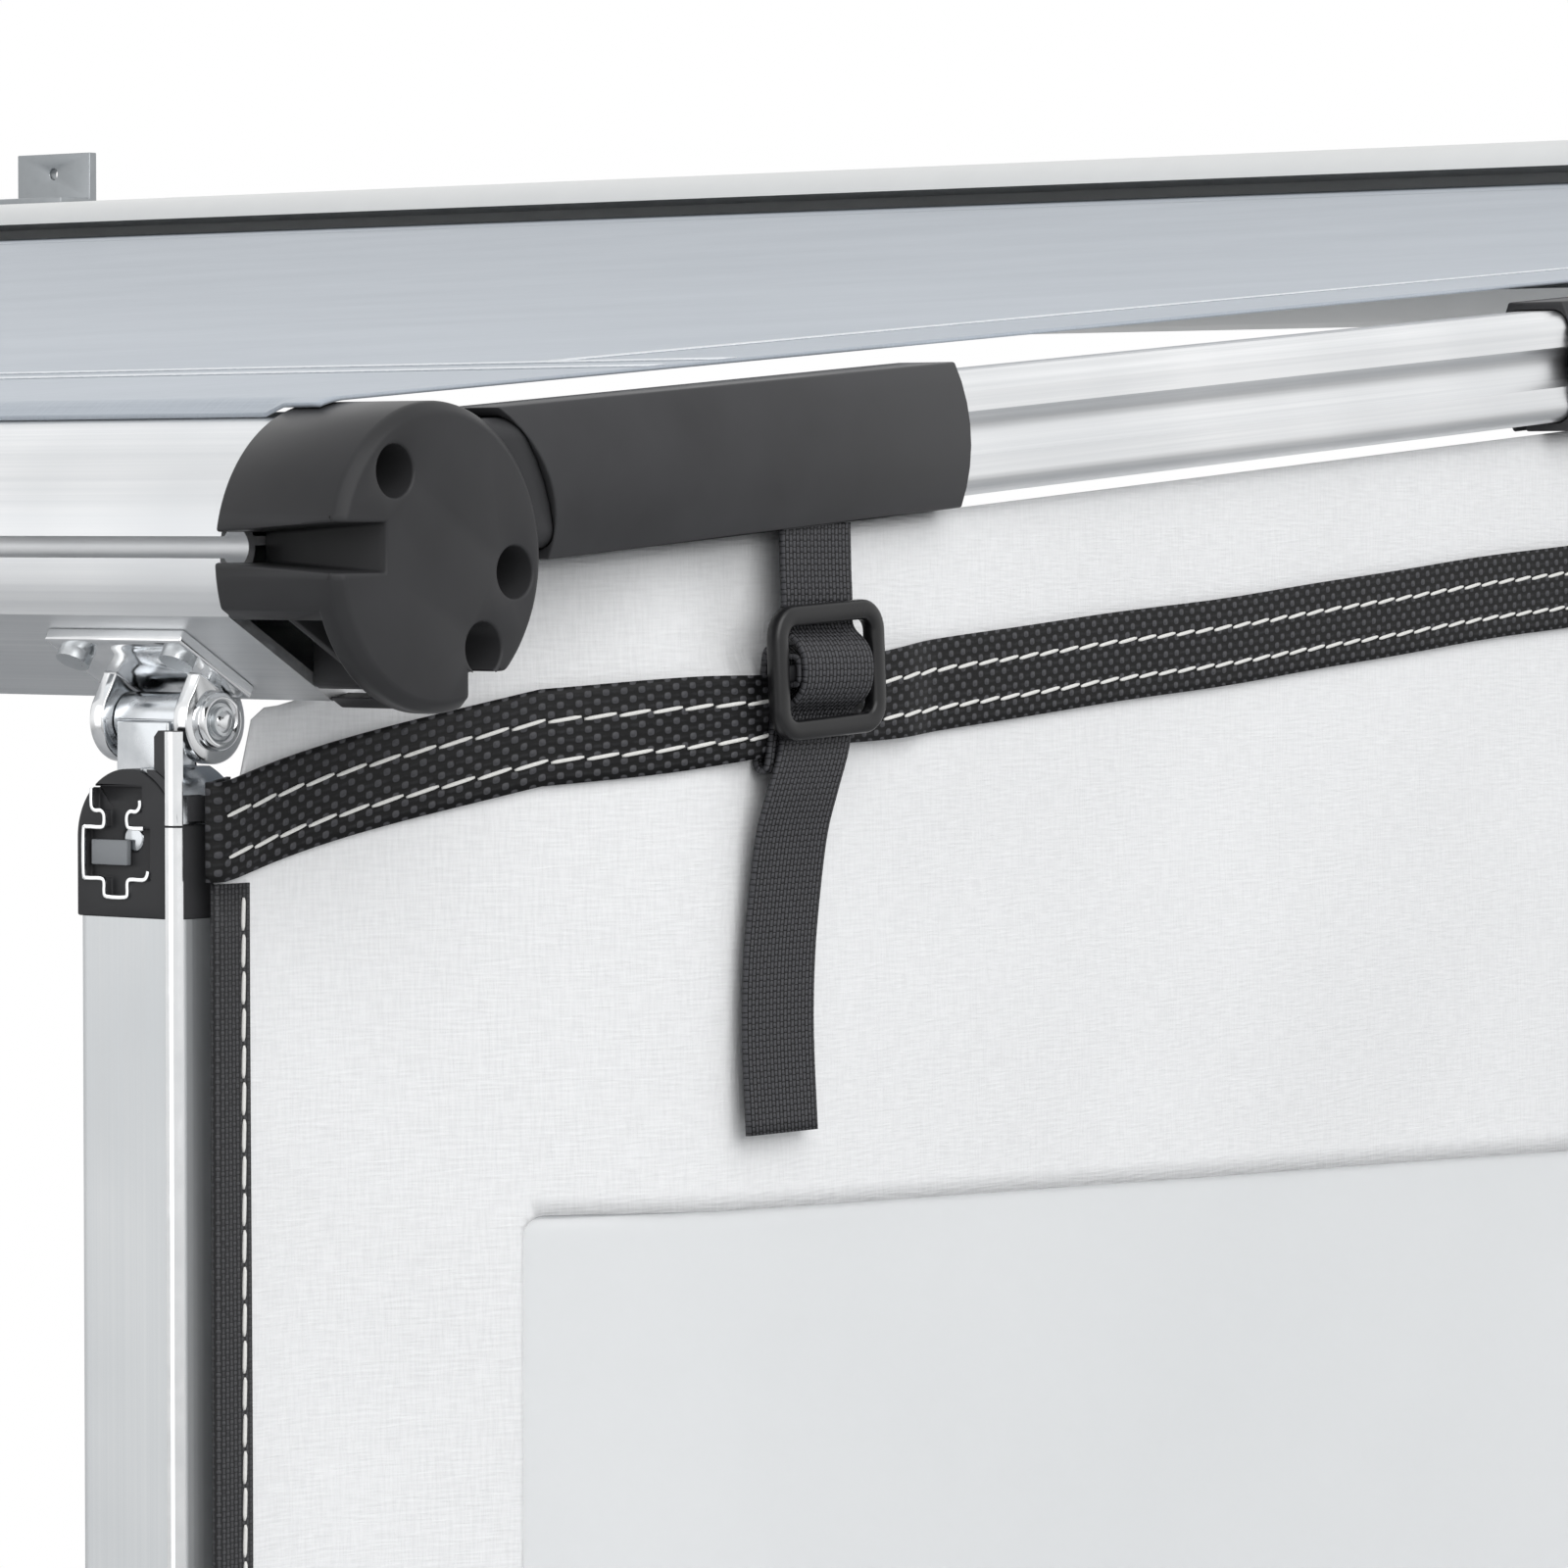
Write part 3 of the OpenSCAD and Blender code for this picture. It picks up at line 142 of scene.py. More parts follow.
# %% [markdown]
# ## Camera
#
# The picture looks level at the front right corner from outside, with a long lens, so that
# lines hardly converge. The camera stands 1.5 m from the end cap and is aimed by its forward
# direction; the lens is worked out from the size of the cap in a square frame.


# %% Camera
def put(name, data):
    """A new object in the scene."""
    made = bpy.data.objects.new(name, data)
    bpy.context.scene.collection.objects.link(made)
    return made


LENS = 158.6
STAND_OFF = 1500.0
TO_CAMERA = Vector((0.669, -0.743, 0.0052))
FORWARD = Vector((-0.6315, 0.775, -0.038))
camera_data = bpy.data.cameras.new("view")
camera_data.sensor_width = 36.0
camera_data.lens = LENS
camera_data.clip_end = 60.0
camera = put("view", camera_data)
camera.location = (CORNER + STAND_OFF * TO_CAMERA) * MM
camera.rotation_euler = FORWARD.to_track_quat("-Z", "Y").to_euler()
bpy.context.scene.camera = camera
print("camera at", [round(v, 3) for v in camera.location])

# %% [markdown]
# ## Floor and light
#
# A pale floor carries the shadow. Large soft boxes stand far off, so that the light falls off
# little across two metres of awning, and a dim sky fills the rest. The backdrop is white to
# the camera and to clear film, and darker below the horizon in reflections, which gives
# bright metal its lower edge.


# %% Node helper and colours
def linear(code):
    """An sRGB hex code as the linear colour that shaders want."""
    channels = [int(code[k:k + 2], 16) / 255 for k in (1, 3, 5)]
    straight = [c / 12.92 if c <= 0.04045 else ((c + 0.055) / 1.055) ** 2.4 for c in channels]
    return (*straight, 1.0)


def add(tree, kind, settings=None, links=None):
    """Adds one shader node, fills its fields or sockets, and links the nodes or sockets that feed it."""
    made = tree.nodes.new("ShaderNode" + kind)
    for name, value in (settings or {}).items():
        if isinstance(name, int) or name in made.inputs:
            made.inputs[name].default_value = value
        else:
            setattr(made, name, value)
    for name, source in (links or {}).items():
        if isinstance(source, bpy.types.Node):
            source = source.outputs[0]
        tree.links.new(source, made.inputs[name])
    return made


def finish(name, colour, roughness, others=None):
    """A new material with its principled shader set to one colour, gloss and other values."""
    made = bpy.data.materials.new(name)
    made.use_nodes = True
    shader = made.node_tree.nodes["Principled BSDF"]
    values = {"Base Color": linear(colour), "Roughness": roughness, **(others or {})}
    for socket, value in values.items():
        shader.inputs[socket].default_value = value
    return made, made.node_tree, shader


def dress(tree, shader, dark, pale, share, height=None, strength=0.0, depth=0.0, rough=None):
    """Colours a shader from dark to pale by share, with a relief of depth mm and a gloss pattern."""
    colours = {"data_type": "RGBA", 6: linear(dark), 7: linear(pale)}
    tint = add(tree, "Mix", colours, {0: share})
    tree.links.new(tint.outputs[2], shader.inputs["Base Color"])
    if height is not None:
        amount = {"Strength": strength, "Distance": depth * MM}
        relief = add(tree, "Bump", amount, {"Height": height})
        tree.links.new(relief.outputs[0], shader.inputs["Normal"])
    if rough is not None:
        tree.links.new(rough.outputs[0], shader.inputs["Roughness"])


# %% World, lamps and floor
bpy.context.scene.view_settings.view_transform = "Standard"
world = bpy.data.worlds.new("studio")
bpy.context.scene.world = world
world.use_nodes = True
sky = world.node_tree
sky.nodes.clear()
ray = add(sky, "LightPath")
aim = add(sky, "TexCoord")
height = add(sky, "SeparateXYZ", links={0: aim.outputs["Generated"]})
low = add(sky, "MapRange", {1: -0.42, 2: -0.03, 3: 0.25, 4: 1.0}, {0: height.outputs["Z"]})
level = add(sky, "Math", {"operation": "MULTIPLY", 1: 0.55}, {0: low})
fill = add(sky, "Background", {"Color": linear("#EEF1F5")}, {"Strength": level})
gloss = add(sky, "Background", {"Color": linear("#FFFFFF")}, {"Strength": low})
white = add(sky, "Background", {"Color": linear("#FFFFFF"), "Strength": 1.0})
shiny = add(sky, "MixShader", links={0: ray.outputs["Is Glossy Ray"], 1: fill, 2: gloss})
plain = add(sky, "Math", {"operation": "ADD", "use_clamp": True},
            {0: ray.outputs["Is Camera Ray"], 1: ray.outputs["Is Transmission Ray"]})
seen = add(sky, "MixShader", links={0: plain, 1: shiny, 2: white})
add(sky, "OutputWorld", links={"Surface": seen})

MIDDLE = Vector((0.0, -0.9, -1.0))
SOFT_BOXES = [
    ("side_box", (4.6, -2.6, 2.0), 4.2, 142.0),
    ("front_box", (-1.4, -6.2, 0.4), 4.2, 38.0),
    ("top_box", (0.4, -1.2, 5.4), 4.6, 30.0),
    ("far_box", (-5.0, 1.5, 2.6), 4.0, 24.0),
]
for box_name, place, size, power in SOFT_BOXES:
    lamp = bpy.data.lights.new(box_name, "AREA")
    lamp.size = size
    lamp.energy = power
    holder = put(box_name, lamp)
    holder.location = place
    holder.rotation_euler = (MIDDLE - Vector(place)).to_track_quat("-Z", "Y").to_euler()

FLOOR_R, FLOOR_DROP = 5.5, 0.0005
floor_shape = bmesh.new()
bmesh.ops.create_circle(floor_shape, cap_ends=True, segments=96, radius=FLOOR_R)
bmesh.ops.translate(floor_shape, verts=floor_shape.verts, vec=(0.0, -0.9, GROUND_Z * MM - FLOOR_DROP))
floor_mesh = bpy.data.meshes.new("floor")
floor_shape.to_mesh(floor_mesh)
floor_shape.free()
floor = put("floor", floor_mesh)
floor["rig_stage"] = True
floor_paint, tree, shader = finish("pale_floor_paint", "#CCCCCC", 0.9)
spot = add(tree, "TexCoord").outputs["Object"]
mottle = add(tree, "TexNoise", {"Scale": 1.4}, {"Vector": spot})
dress(tree, shader, "#CCCCCC", "#D4D4D4", mottle)
floor_mesh.materials.append(floor_paint)
print("lamps", len(SOFT_BOXES))

# %% [markdown]
# ## Hard finishes
#
# Extruded and anodised aluminium has fine die lines along its length and a satin sheen.
# The end caps, sleeves and joints are moulded in black glass filled nylon, with a fine spark
# grain, and their edges carry a painted highlight that makes them paler. The leg hinge is bright
# plated steel. Each pattern is scaled from a size in millimetres on the real thing and read from
# Object coordinates.


# %% Satin anodised aluminium
def drawn_aluminium(name, colour, pale, turn, stretch, gloss_low, gloss_high, bare=1.0):
    """Extruded aluminium: die lines 1.2 mm apart along the bar, in colour, gloss and relief."""
    made, tree, shader = finish(name, colour, gloss_low, {"Metallic": bare})
    spot = add(tree, "TexCoord").outputs["Object"]
    turned = add(tree, "Mapping", {"Rotation": turn}, {"Vector": spot})
    drawn = add(tree, "Mapping", {"Scale": stretch}, {"Vector": turned})
    lines = add(tree, "TexNoise", {"Scale": 1.0, "Detail": 3.0, "Roughness": 0.6}, {"Vector": drawn})
    cloud = add(tree, "TexNoise", {"Scale": 14.0}, {"Vector": spot})
    both = add(tree, "Math", {"operation": "MULTIPLY"}, {0: lines, 1: cloud})
    share = add(tree, "MapRange", {1: 0.12, 2: 0.4}, {0: both})
    rough = add(tree, "MapRange", {1: 0.3, 2: 0.7, 3: gloss_low, 4: gloss_high}, {0: lines})
    dress(tree, shader, colour, pale, share, lines, 0.05, 0.02, rough)
    return made


LINES = 1 / (1.2 * MM)
ALONG_X = (3.0, LINES, LINES)
ALONG_Y = (LINES, 3.0, LINES)
ALONG_Z = (LINES, LINES, 3.0)
LEVEL = (0, 0, 0)
rail_aluminium = drawn_aluminium(
    "anodised_aluminium_rail", "#D6D8DA", "#E6E7E8", LEVEL, ALONG_X, 0.42, 0.55)
rafter_aluminium = drawn_aluminium(
    "anodised_aluminium_rafter", "#DCDEE0", "#F0F1F2", (-PITCH, 0, 0), ALONG_Y, 0.28, 0.4)
leg_aluminium = drawn_aluminium(
    "anodised_aluminium_leg", "#C9CCCE", "#D8DADB", LEVEL, ALONG_Z, 0.42, 0.54, 0.8)
print("aluminium finishes made")


# %% Moulded plastics, rubber and powder coat
def moulded(name, colour, pale, roughness, grain, depth, shine=0.4):
    """A moulded or sprayed skin: grain in mm gives the relief, and sharp edges get a painted highlight that
    makes them paler.
    """
    made, tree, shader = finish(name, colour, roughness, {"Specular IOR Level": shine})
    spot = add(tree, "TexCoord").outputs["Object"]
    edge = add(tree, "NewGeometry").outputs["Pointiness"]
    skin = add(tree, "TexNoise", {"Scale": 1 / (grain * MM)}, {"Vector": spot})
    flow = add(tree, "TexNoise", {"Scale": 1 / (30 * MM), "Detail": 3.0}, {"Vector": spot})
    # Painted highlight: edges found by pointiness are coloured paler, as if they caught the light.
    painted_edge_highlight = add(tree, "MapRange", {1: 0.52, 2: 0.62, 4: 0.55}, {0: edge})
    patch = add(tree, "MapRange", {1: 0.3, 2: 0.7, 4: 0.3}, {0: flow})
    share = add(tree, "Math", {"operation": "ADD", "use_clamp": True}, {0: painted_edge_highlight, 1: patch})
    rough = add(tree, "MapRange", {1: 0.3, 2: 0.7, 3: roughness - 0.05, 4: roughness + 0.07}, {0: flow})
    dress(tree, shader, colour, pale, share, skin, depth, 0.05, rough)
    return made


black_nylon = moulded("moulded_black_nylon", "#313132", "#49494B", 0.4, 0.5, 0.12, 0.15)
sleeve_nylon = moulded("moulded_sleeve_nylon", "#373738", "#4E4E50", 0.38, 0.6, 0.08, 0.15)
buckle_acetal = moulded("moulded_black_acetal", "#111112", "#29292B", 0.3, 0.5, 0.14, 0.4)
grey_nylon = moulded("moulded_grey_nylon", "#7F8285", "#9DA0A3", 0.45, 0.5, 0.14)
bush_acetal = moulded("moulded_natural_acetal", "#DCD5C2", "#E8E2D2", 0.4, 0.5, 0.08)
foot_rubber = moulded("black_rubber", "#222223", "#39393A", 0.72, 0.8, 0.3)
keder_rubber = moulded("black_keder_vinyl", "#262627", "#3A3A3B", 0.55, 0.7, 0.2)
powder_coat = moulded("grey_powder_coat", "#4A4C4F", "#63666A", 0.48, 1.1, 0.22)
white_coat = moulded("white_powder_coat", "#E3E3E1", "#F0F0EE", 0.42, 1.1, 0.1)
print("moulded finishes made")


# %% Plated steel
def plated(name, colour, pale, gloss_low, gloss_high, spangle):
    """Plated steel: a cloudy gloss whose patches are spangle mm across."""
    made, tree, shader = finish(name, colour, gloss_low, {"Metallic": 1.0})
    spot = add(tree, "TexCoord").outputs["Object"]
    cloud = add(tree, "TexNoise", {"Scale": 1 / (spangle * MM), "Detail": 3.0}, {"Vector": spot})
    rough = add(tree, "MapRange", {1: 0.35, 2: 0.7, 3: gloss_low, 4: gloss_high}, {0: cloud})
    dress(tree, shader, colour, pale, cloud, cloud, 0.06, 0.03, rough)
    return made


bright_plate = plated("bright_plated_steel", "#D9DBDD", "#F2F3F4", 0.09, 0.2, 6.0)
satin_plate = plated("satin_plated_steel", "#B4B8BC", "#D2D5D8", 0.16, 0.3, 5.0)
zinc_plate = plated("zinc_plated_steel", "#B9BDC0", "#D3D6D8", 0.26, 0.4, 3.0)
wall_plate = plated("galvanised_steel", "#8E9295", "#A9ADB0", 0.36, 0.52, 7.0)
spring_wire = plated("oiled_spring_wire", "#5E6164", "#7B7E82", 0.3, 0.42, 4.0)
print("plated finishes made")

# %% [markdown]
# ## Cloth, tape and film
#
# The canopy and the side panel are vinyl coated cloth: the coat softens a linen weave that
# still shows as uneven threads. The tapes are woven from thick polypropylene yarn; the glint
# where each crossing catches the light is painted into the colour. These patterns follow the
# piece's own flat measure, so they read a UV map that holds metres along and across the cloth.


# %% Coated cloth
def coated_cloth(name, colour, pale, roughness, thread, run, depth, cloudiness):
    """Vinyl over linen: threads are thread mm wide and keep their slub for run mm."""
    made, tree, shader = finish(name, colour, roughness, {"Sheen Weight": 0.08})
    flat = add(tree, "UVMap", {"uv_map": "cloth"})
    fine, long = 1 / (thread * MM), 1 / (run * MM)
    warp_place = add(tree, "Mapping", {"Scale": (long, fine, 1.0)}, {"Vector": flat})
    weft_place = add(tree, "Mapping", {"Scale": (fine, long, 1.0)}, {"Vector": flat})
    warp = add(tree, "TexNoise", {"Scale": 1.0}, {"Vector": warp_place})
    weft = add(tree, "TexNoise", {"Scale": 1.0}, {"Vector": weft_place})
    threads = add(tree, "Math", {"operation": "ADD"}, {0: warp, 1: weft})
    cloud = add(tree, "TexNoise", {"Scale": 9.0}, {"Vector": flat})
    grey = add(tree, "MapRange", {1: 0.75, 2: 1.25, 4: 1.0 - cloudiness}, {0: threads})
    soft = add(tree, "MapRange", {1: 0.3, 2: 0.7, 4: cloudiness}, {0: cloud})
    share = add(tree, "Math", {"operation": "ADD", "use_clamp": True}, {0: grey, 1: soft})
    dress(tree, shader, colour, pale, share, threads, depth, 0.25)
    return made


canopy_cloth = coated_cloth("coated_canopy_cloth", "#9FA7B0", "#B2B9C1", 0.5, 0.9, 26.0, 0.25, 0.45)
panel_cloth = coated_cloth("coated_panel_cloth", "#E6E6E6", "#F3F3F3", 0.55, 0.75, 7.0, 0.7, 0.35)
weld_tape = coated_cloth("welded_seam_tape", "#D2D7DC", "#F0F2F4", 0.4, 1.6, 2.4, 0.3, 0.2)
print("coated cloths made")


# %% Woven tape and sewing thread
def woven_tape(name, dark, pale, along, across, depth, fill, under):
    """Basket weave in blocks of along by across mm, with a painted glint on each yarn crown: fill and under
    are how much yarn shows.
    """
    made, tree, shader = finish(name, dark, 0.5, {"Specular IOR Level": 0.2})
    flat = add(tree, "UVMap", {"uv_map": "cloth"})
    blocks = {"Scale": (1 / (along * MM), 1 / (across * MM), 1.0)}
    cells = add(tree, "Mapping", blocks, {"Vector": flat})
    over = add(tree, "TexChecker", {"Scale": 1.0}, {"Vector": cells}).outputs["Fac"]
    hump = 2 * pi / 20
    warp = add(tree, "TexWave", {"bands_direction": "X", "Scale": hump}, {"Vector": cells})
    weft = add(tree, "TexWave", {"bands_direction": "Y", "Scale": hump}, {"Vector": cells})
    rows = weft.outputs["Fac"]
    # Painted highlight: the yarn crowns take the pale colour as their glint; the same pattern also drives
    # the bump.
    dome = add(tree, "Math", {"operation": "MULTIPLY"}, {0: warp.outputs["Fac"], 1: rows})
    sunk = add(tree, "Math", {"operation": "MULTIPLY", 1: under}, {0: rows})
    yarn = add(tree, "Mix", links={0: over, 2: sunk, 3: dome})
    uneven = add(tree, "TexNoise", {"Scale": 0.9}, {"Vector": cells})
    painted_glint = add(tree, "Math", {"operation": "MULTIPLY"}, {0: yarn, 1: uneven})
    share = add(tree, "MapRange", {1: 0.02, 2: 0.6 - 0.5 * fill}, {0: painted_glint})
    dress(tree, shader, dark, pale, share, yarn, depth, 0.4)
    return made


# The pale colour of each tape is the painted glint on its yarn crowns.
edge_webbing = woven_tape("woven_edge_webbing", "#0A0A0B", "#48484B", 2.3, 2.0, 0.8, 1.0, 0.06)
strap_webbing = woven_tape("woven_strap_webbing", "#0B0B0C", "#4A4A4D", 1.4, 1.3, 0.7, 0.92, 0.6)
binding_tape = woven_tape("woven_binding_tape", "#242425", "#4A4A4C", 1.2, 1.2, 0.4, 0.9, 0.3)
thread, tree, shader = finish("white_polyester_thread", "#E9E8E4", 0.6)
spot = add(tree, "TexCoord").outputs["Object"]
ply = add(tree, "TexNoise", {"Scale": 1 / (0.5 * MM)}, {"Vector": spot})
dress(tree, shader, "#D6D4CE", "#F4F3F0", ply)
print("tapes and thread made")

# %% Clear window film
CLEAR = {"Transmission Weight": 0.55, "IOR": 1.3}
film, tree, shader = finish("clear_vinyl_film", "#E4E6E7", 0.08, CLEAR)
spot = add(tree, "TexCoord").outputs["Object"]
wave = add(tree, "TexNoise", {"Scale": 5.0}, {"Vector": spot})
dress(tree, shader, "#E8EAEB", "#F3F4F5", wave, wave, 0.25, 4.0)
print("film made")

# %% [markdown]
# ## Finishes on the extrusions
#
# Tubes and profiles keep their CAD mesh: an extrusion really has that crisp section. They
# only take a finish, with the die lines along the bar.

# %% Finish the extruded profiles and small metal
BOTH = ("left", "right")
KEPT = {
    rail_aluminium: ["lead_rail", "lead_rail_web", "lead_rail_lower", "roller_tube"],
    white_coat: ["case_shell"],
    rafter_aluminium: ["rafter_" + tube + side for tube in ("rear_tube_", "front_tube_") for side in BOTH],
    leg_aluminium: ["leg_" + tube + side for tube in ("tube_", "inner_") for side in BOTH],
    zinc_plate: ["case_screws", "rail_screws", "rafter_pins", "leg_tilt_pins", "spring_shaft"],
    spring_wire: ["torsion_spring"],
    bush_acetal: ["roller_bush"],
    black_nylon: ["roller_plug_left", "roller_plug_right", "rafter_rear_eyes"],
}
for coat, names in KEPT.items():
    for name in names:
        mesh = frame["nodes"][name].data
        mesh.materials.clear()
        mesh.materials.append(coat)
print("kept", sum(len(v) for v in KEPT.values()), "profiles and fasteners")

# %% [markdown]
# ## Moulded edges
#
# A mould leaves no sharp edge. Each moulded or pressed part is copied from its CAD mesh: its
# doubled corners are merged, and every edge that turns by more than a set angle gets a small
# round. The copy stands for the node and rides on the same body.


# %% Round the edges of moulded parts
def settle(name, shape, coat, body=None, sharp=38.0):
    """Makes an object of a bmesh, smooth but for its sharp edges, riding on a body if it has one."""
    mesh = bpy.data.meshes.new(name)
    shape.to_mesh(mesh)
    shape.free()
    mesh.polygons.foreach_set("use_smooth", [True] * len(mesh.polygons))
    mesh.set_sharp_from_angle(angle=radians(sharp))
    mesh.materials.append(coat)
    made = put(name, mesh)
    if body:
        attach(made, body)
    return made


def round_edges(shape, edges, round_mm):
    """Rounds the given edges of a bmesh by round_mm."""
    bmesh.ops.bevel(
        shape, geom=edges, offset=round_mm * MM, offset_type="OFFSET", affect="EDGES",
        segments=2, profile=0.5, material=-1, clamp_overlap=False,
    )


EDGE_TURN = radians(30.0)


def soften(node, round_mm, coat):
    """A copy of a CAD node with rounded edges, which replaces it."""
    source = frame["nodes"][node]
    shape = bmesh.new()
    shape.from_mesh(source.data)
    bmesh.ops.remove_doubles(shape, verts=shape.verts, dist=0.002 * MM)
    edges = [
        e for e in shape.edges
        if len(e.link_faces) == 2 and e.calc_face_angle(0.0) > EDGE_TURN
    ]
    round_edges(shape, edges, round_mm)
    made = settle(node + "_rounded", shape, coat, source["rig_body"])
    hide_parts(node)


PAIRS = [
    ("end_cap", 0.7, black_nylon), ("case_end_cap", 1.0, black_nylon),
    ("rafter_knob", 0.6, black_nylon), ("leg_head", 0.5, sleeve_nylon),
    ("leg_clamp", 0.7, black_nylon), ("leg_latch", 0.3, grey_nylon),
    ("leg_lever", 0.6, grey_nylon), ("leg_foot", 0.9, foot_rubber),
    ("leg_bracket", 0.45, bright_plate), ("leg_knuckle", 0.5, satin_plate),
    ("rafter_bracket", 0.5, powder_coat), ("wall_bracket", 0.6, wall_plate),
]
SETS = [
    ("strap_sleeves", 0.5, sleeve_nylon), ("rafter_collars", 0.6, black_nylon),
    ("rafter_front_plugs", 0.6, black_nylon),
]
for stem, round_mm, coat in PAIRS:
    for side in BOTH:
        soften(stem + "_" + side, round_mm, coat)
for node, round_mm, coat in SETS:
    soften(node, round_mm, coat)
print("rounded", 2 * len(PAIRS) + len(SETS), "parts")

# %% [markdown]
# ## A cloth grid
#
# Every sheet and tape starts as a flat grid whose corners are then carried to their places.
# The grid keeps a UV map in metres of flat cloth, so the weave neither stretches nor swims.


# %% Cloth grid helper
def cloth_grid(rows, columns, place, flat):
    """A grid: place(i, j) is the point in mm of row i and column j, flat(i, j) its cut place."""
    shape = bmesh.new()
    bmesh.ops.create_grid(shape, x_segments=columns, y_segments=rows, size=0.5)
    spots = {v: (round((v.co.y + 0.5) * rows), round((v.co.x + 0.5) * columns)) for v in shape.verts}
    cut = shape.loops.layers.uv.new("cloth")
    for face in shape.faces:
        for corner in face.loops:
            corner[cut].uv = Vector(flat(*spots[corner.vert])) * MM
    for v, (i, j) in spots.items():
        v.co = Vector(place(i, j)) * MM
    return shape


def thicken(made, thickness):
    """Gives a sheet its thickness in mm with a live Solidify."""
    wall = made.modifiers.new("thickness", "SOLIDIFY")
    wall.thickness = thickness * MM
    wall.offset = 0.0
    wall.use_even_offset = True
    return made


def clip(t):
    """t held between 0 and 1."""
    return max(0.0, min(1.0, t))


def ease(t):
    """0 to 1 with a soft start and end."""
    t = clip(t)
    return t * t * (3 - 2 * t)


def run_lengths(points):
    """How far along the line each of its points lies."""
    run = [0.0]
    for a, b in zip(points, points[1:]):
        run.append(run[-1] + (b - a).length)
    return run


# %% [markdown]
# ## Canopy
#
# The canopy runs from the roller down to the lead rail, where its hem folds over the rail. A
# first strip comes off the roller, and one sheet goes on from there. The cloth is pulled tight
# along the slope, so it only dips a little in the middle of its width. Welded lines run across
# it behind the front hem and down beside each edge.

# %% Canopy sheet
CLOTH_T = 0.9
HEM_ARC, HEM_REST = 8.5, 0.75
CAP_MOUTH = HALF_W - 37.0
LEADER = 110.0
DIP = 7.0
REAR = Vector((0.0, -ROLLER_Y, canopy_z(-ROLLER_Y)))
hem_start = RAIL + HEM_R * Vector((0.0, -sin(PITCH), cos(PITCH)))
slope_len = (hem_start - REAR).length
fine_from = slope_len * 55 / 60
leader_run = [LEADER * k / 22 for k in range(23)]
along = [LEADER + (fine_from - LEADER) * k / 54 for k in range(54)]
along += [fine_from + (slope_len * 5 / 60) * k / 30 for k in range(31)]
along += [slope_len + HEM_ARC * k / 8 for k in range(1, 9)]
across_x = [-CANOPY_HALF + 2 * CANOPY_HALF * k / 120 for k in range(121)]
for edge in (3.0, 7.0, 11.0, 14.0, 17.0, 22.0):
    across_x += [-CANOPY_HALF + edge, CANOPY_HALF - edge]
across_x = sorted(across_x)


def canopy_at(s, x, lift=0.0):
    """The canopy's place s mm down the slope at x, raised by lift mm."""
    below = slope_len - s
    if below < 0:
        a = pi / 2 + PITCH - below / HEM_R
        sink = (HEM_R - RAIL_R - HEM_REST) * ease(-below / HEM_ARC) * ease((CAP_MOUTH - abs(x)) / 6.0)
        return RAIL + (HEM_R - sink) * Vector((0.0, cos(a), sin(a))) + Vector((x, 0.0, 0.0))
    point = REAR + DOWN_SLOPE * s
    mid = max(0.0, 1 - (x / (CANOPY_HALF - 40)) ** 4)
    dip = DIP * sin(pi * s / slope_len) ** 2 * mid
    tug = 0.5 * sin(x / 37.0) * sin(x / 91.0 + 1.0) * ease(below / 30) * exp(-below / 160)
    return Vector((x, point.y, point.z - dip + tug * mid + lift))


def canopy_piece(name, run):
    """The canopy from one end of a run down the slope to its other end."""
    shape = cloth_grid(
        len(run) - 1, len(across_x) - 1,
        lambda i, j: canopy_at(run[i], across_x[j]),
        lambda i, j: (across_x[j], run[i]),
    )
    made = thicken(settle(name, shape, canopy_cloth), CLOTH_T)
    return made


canopy = canopy_piece("canopy_sheet", along)
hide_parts("canopy")
leader = canopy_piece("canopy_leader", leader_run)
print("canopy", len(canopy.data.polygons), "faces, slope", round(slope_len, 1))

# %% Welded seams of the canopy's wide hems
SEAM_IN, SEAM_UP, SEAM_GAP, SEAM_W = 64.0, 104.0, 26.0, 7.0
SEAM_T, SEAM_LIFT = 0.25, 0.62
SEAM_HALF = CANOPY_HALF - 2.0
FRONT_END = slope_len - SEAM_UP
SIDE_END = FRONT_END - SEAM_GAP
SEAMS = {
    "front": (-SEAM_HALF, SEAM_HALF, FRONT_END - SEAM_W, FRONT_END),
    "inner": (-SEAM_HALF, SEAM_HALF, SIDE_END - SEAM_W, SIDE_END),
    "left": (-CANOPY_HALF + SEAM_IN - SEAM_W, -CANOPY_HALF + SEAM_IN, LEADER, SIDE_END - SEAM_W),
    "right": (CANOPY_HALF - SEAM_IN, CANOPY_HALF - SEAM_IN + SEAM_W, LEADER, SIDE_END - SEAM_W),
}


def canopy_seam(label, x0, x1, s0, s1):
    """A welded strip on the canopy from x0 to x1 and from s0 to s1 down the slope."""
    columns, rows = (120, 2) if x1 - x0 > s1 - s0 else (2, 80)

    def spread(i, j):
        return x0 + (x1 - x0) * j / columns, s0 + (s1 - s0) * i / rows

    shape = cloth_grid(rows, columns, lambda i, j: canopy_at(*reversed(spread(i, j)), SEAM_LIFT), spread)
    seam = thicken(settle("canopy_seam_" + label, shape, weld_tape), SEAM_T)
    return seam


canopy_seams = [canopy_seam(label, *edges) for label, edges in SEAMS.items()]
print("canopy seams", len(canopy_seams))

# %% [markdown]
# ## Side panel
#
# The white panel hangs below the rafter. It runs in an easy curve from the outside of the leg
# to the line of the rafter, and has a large window. Near the straps the cloth is pulled into
# shallow folds, and lower down it waves a little. The window is cut out of the grid and its
# corners are drawn onto an arc.

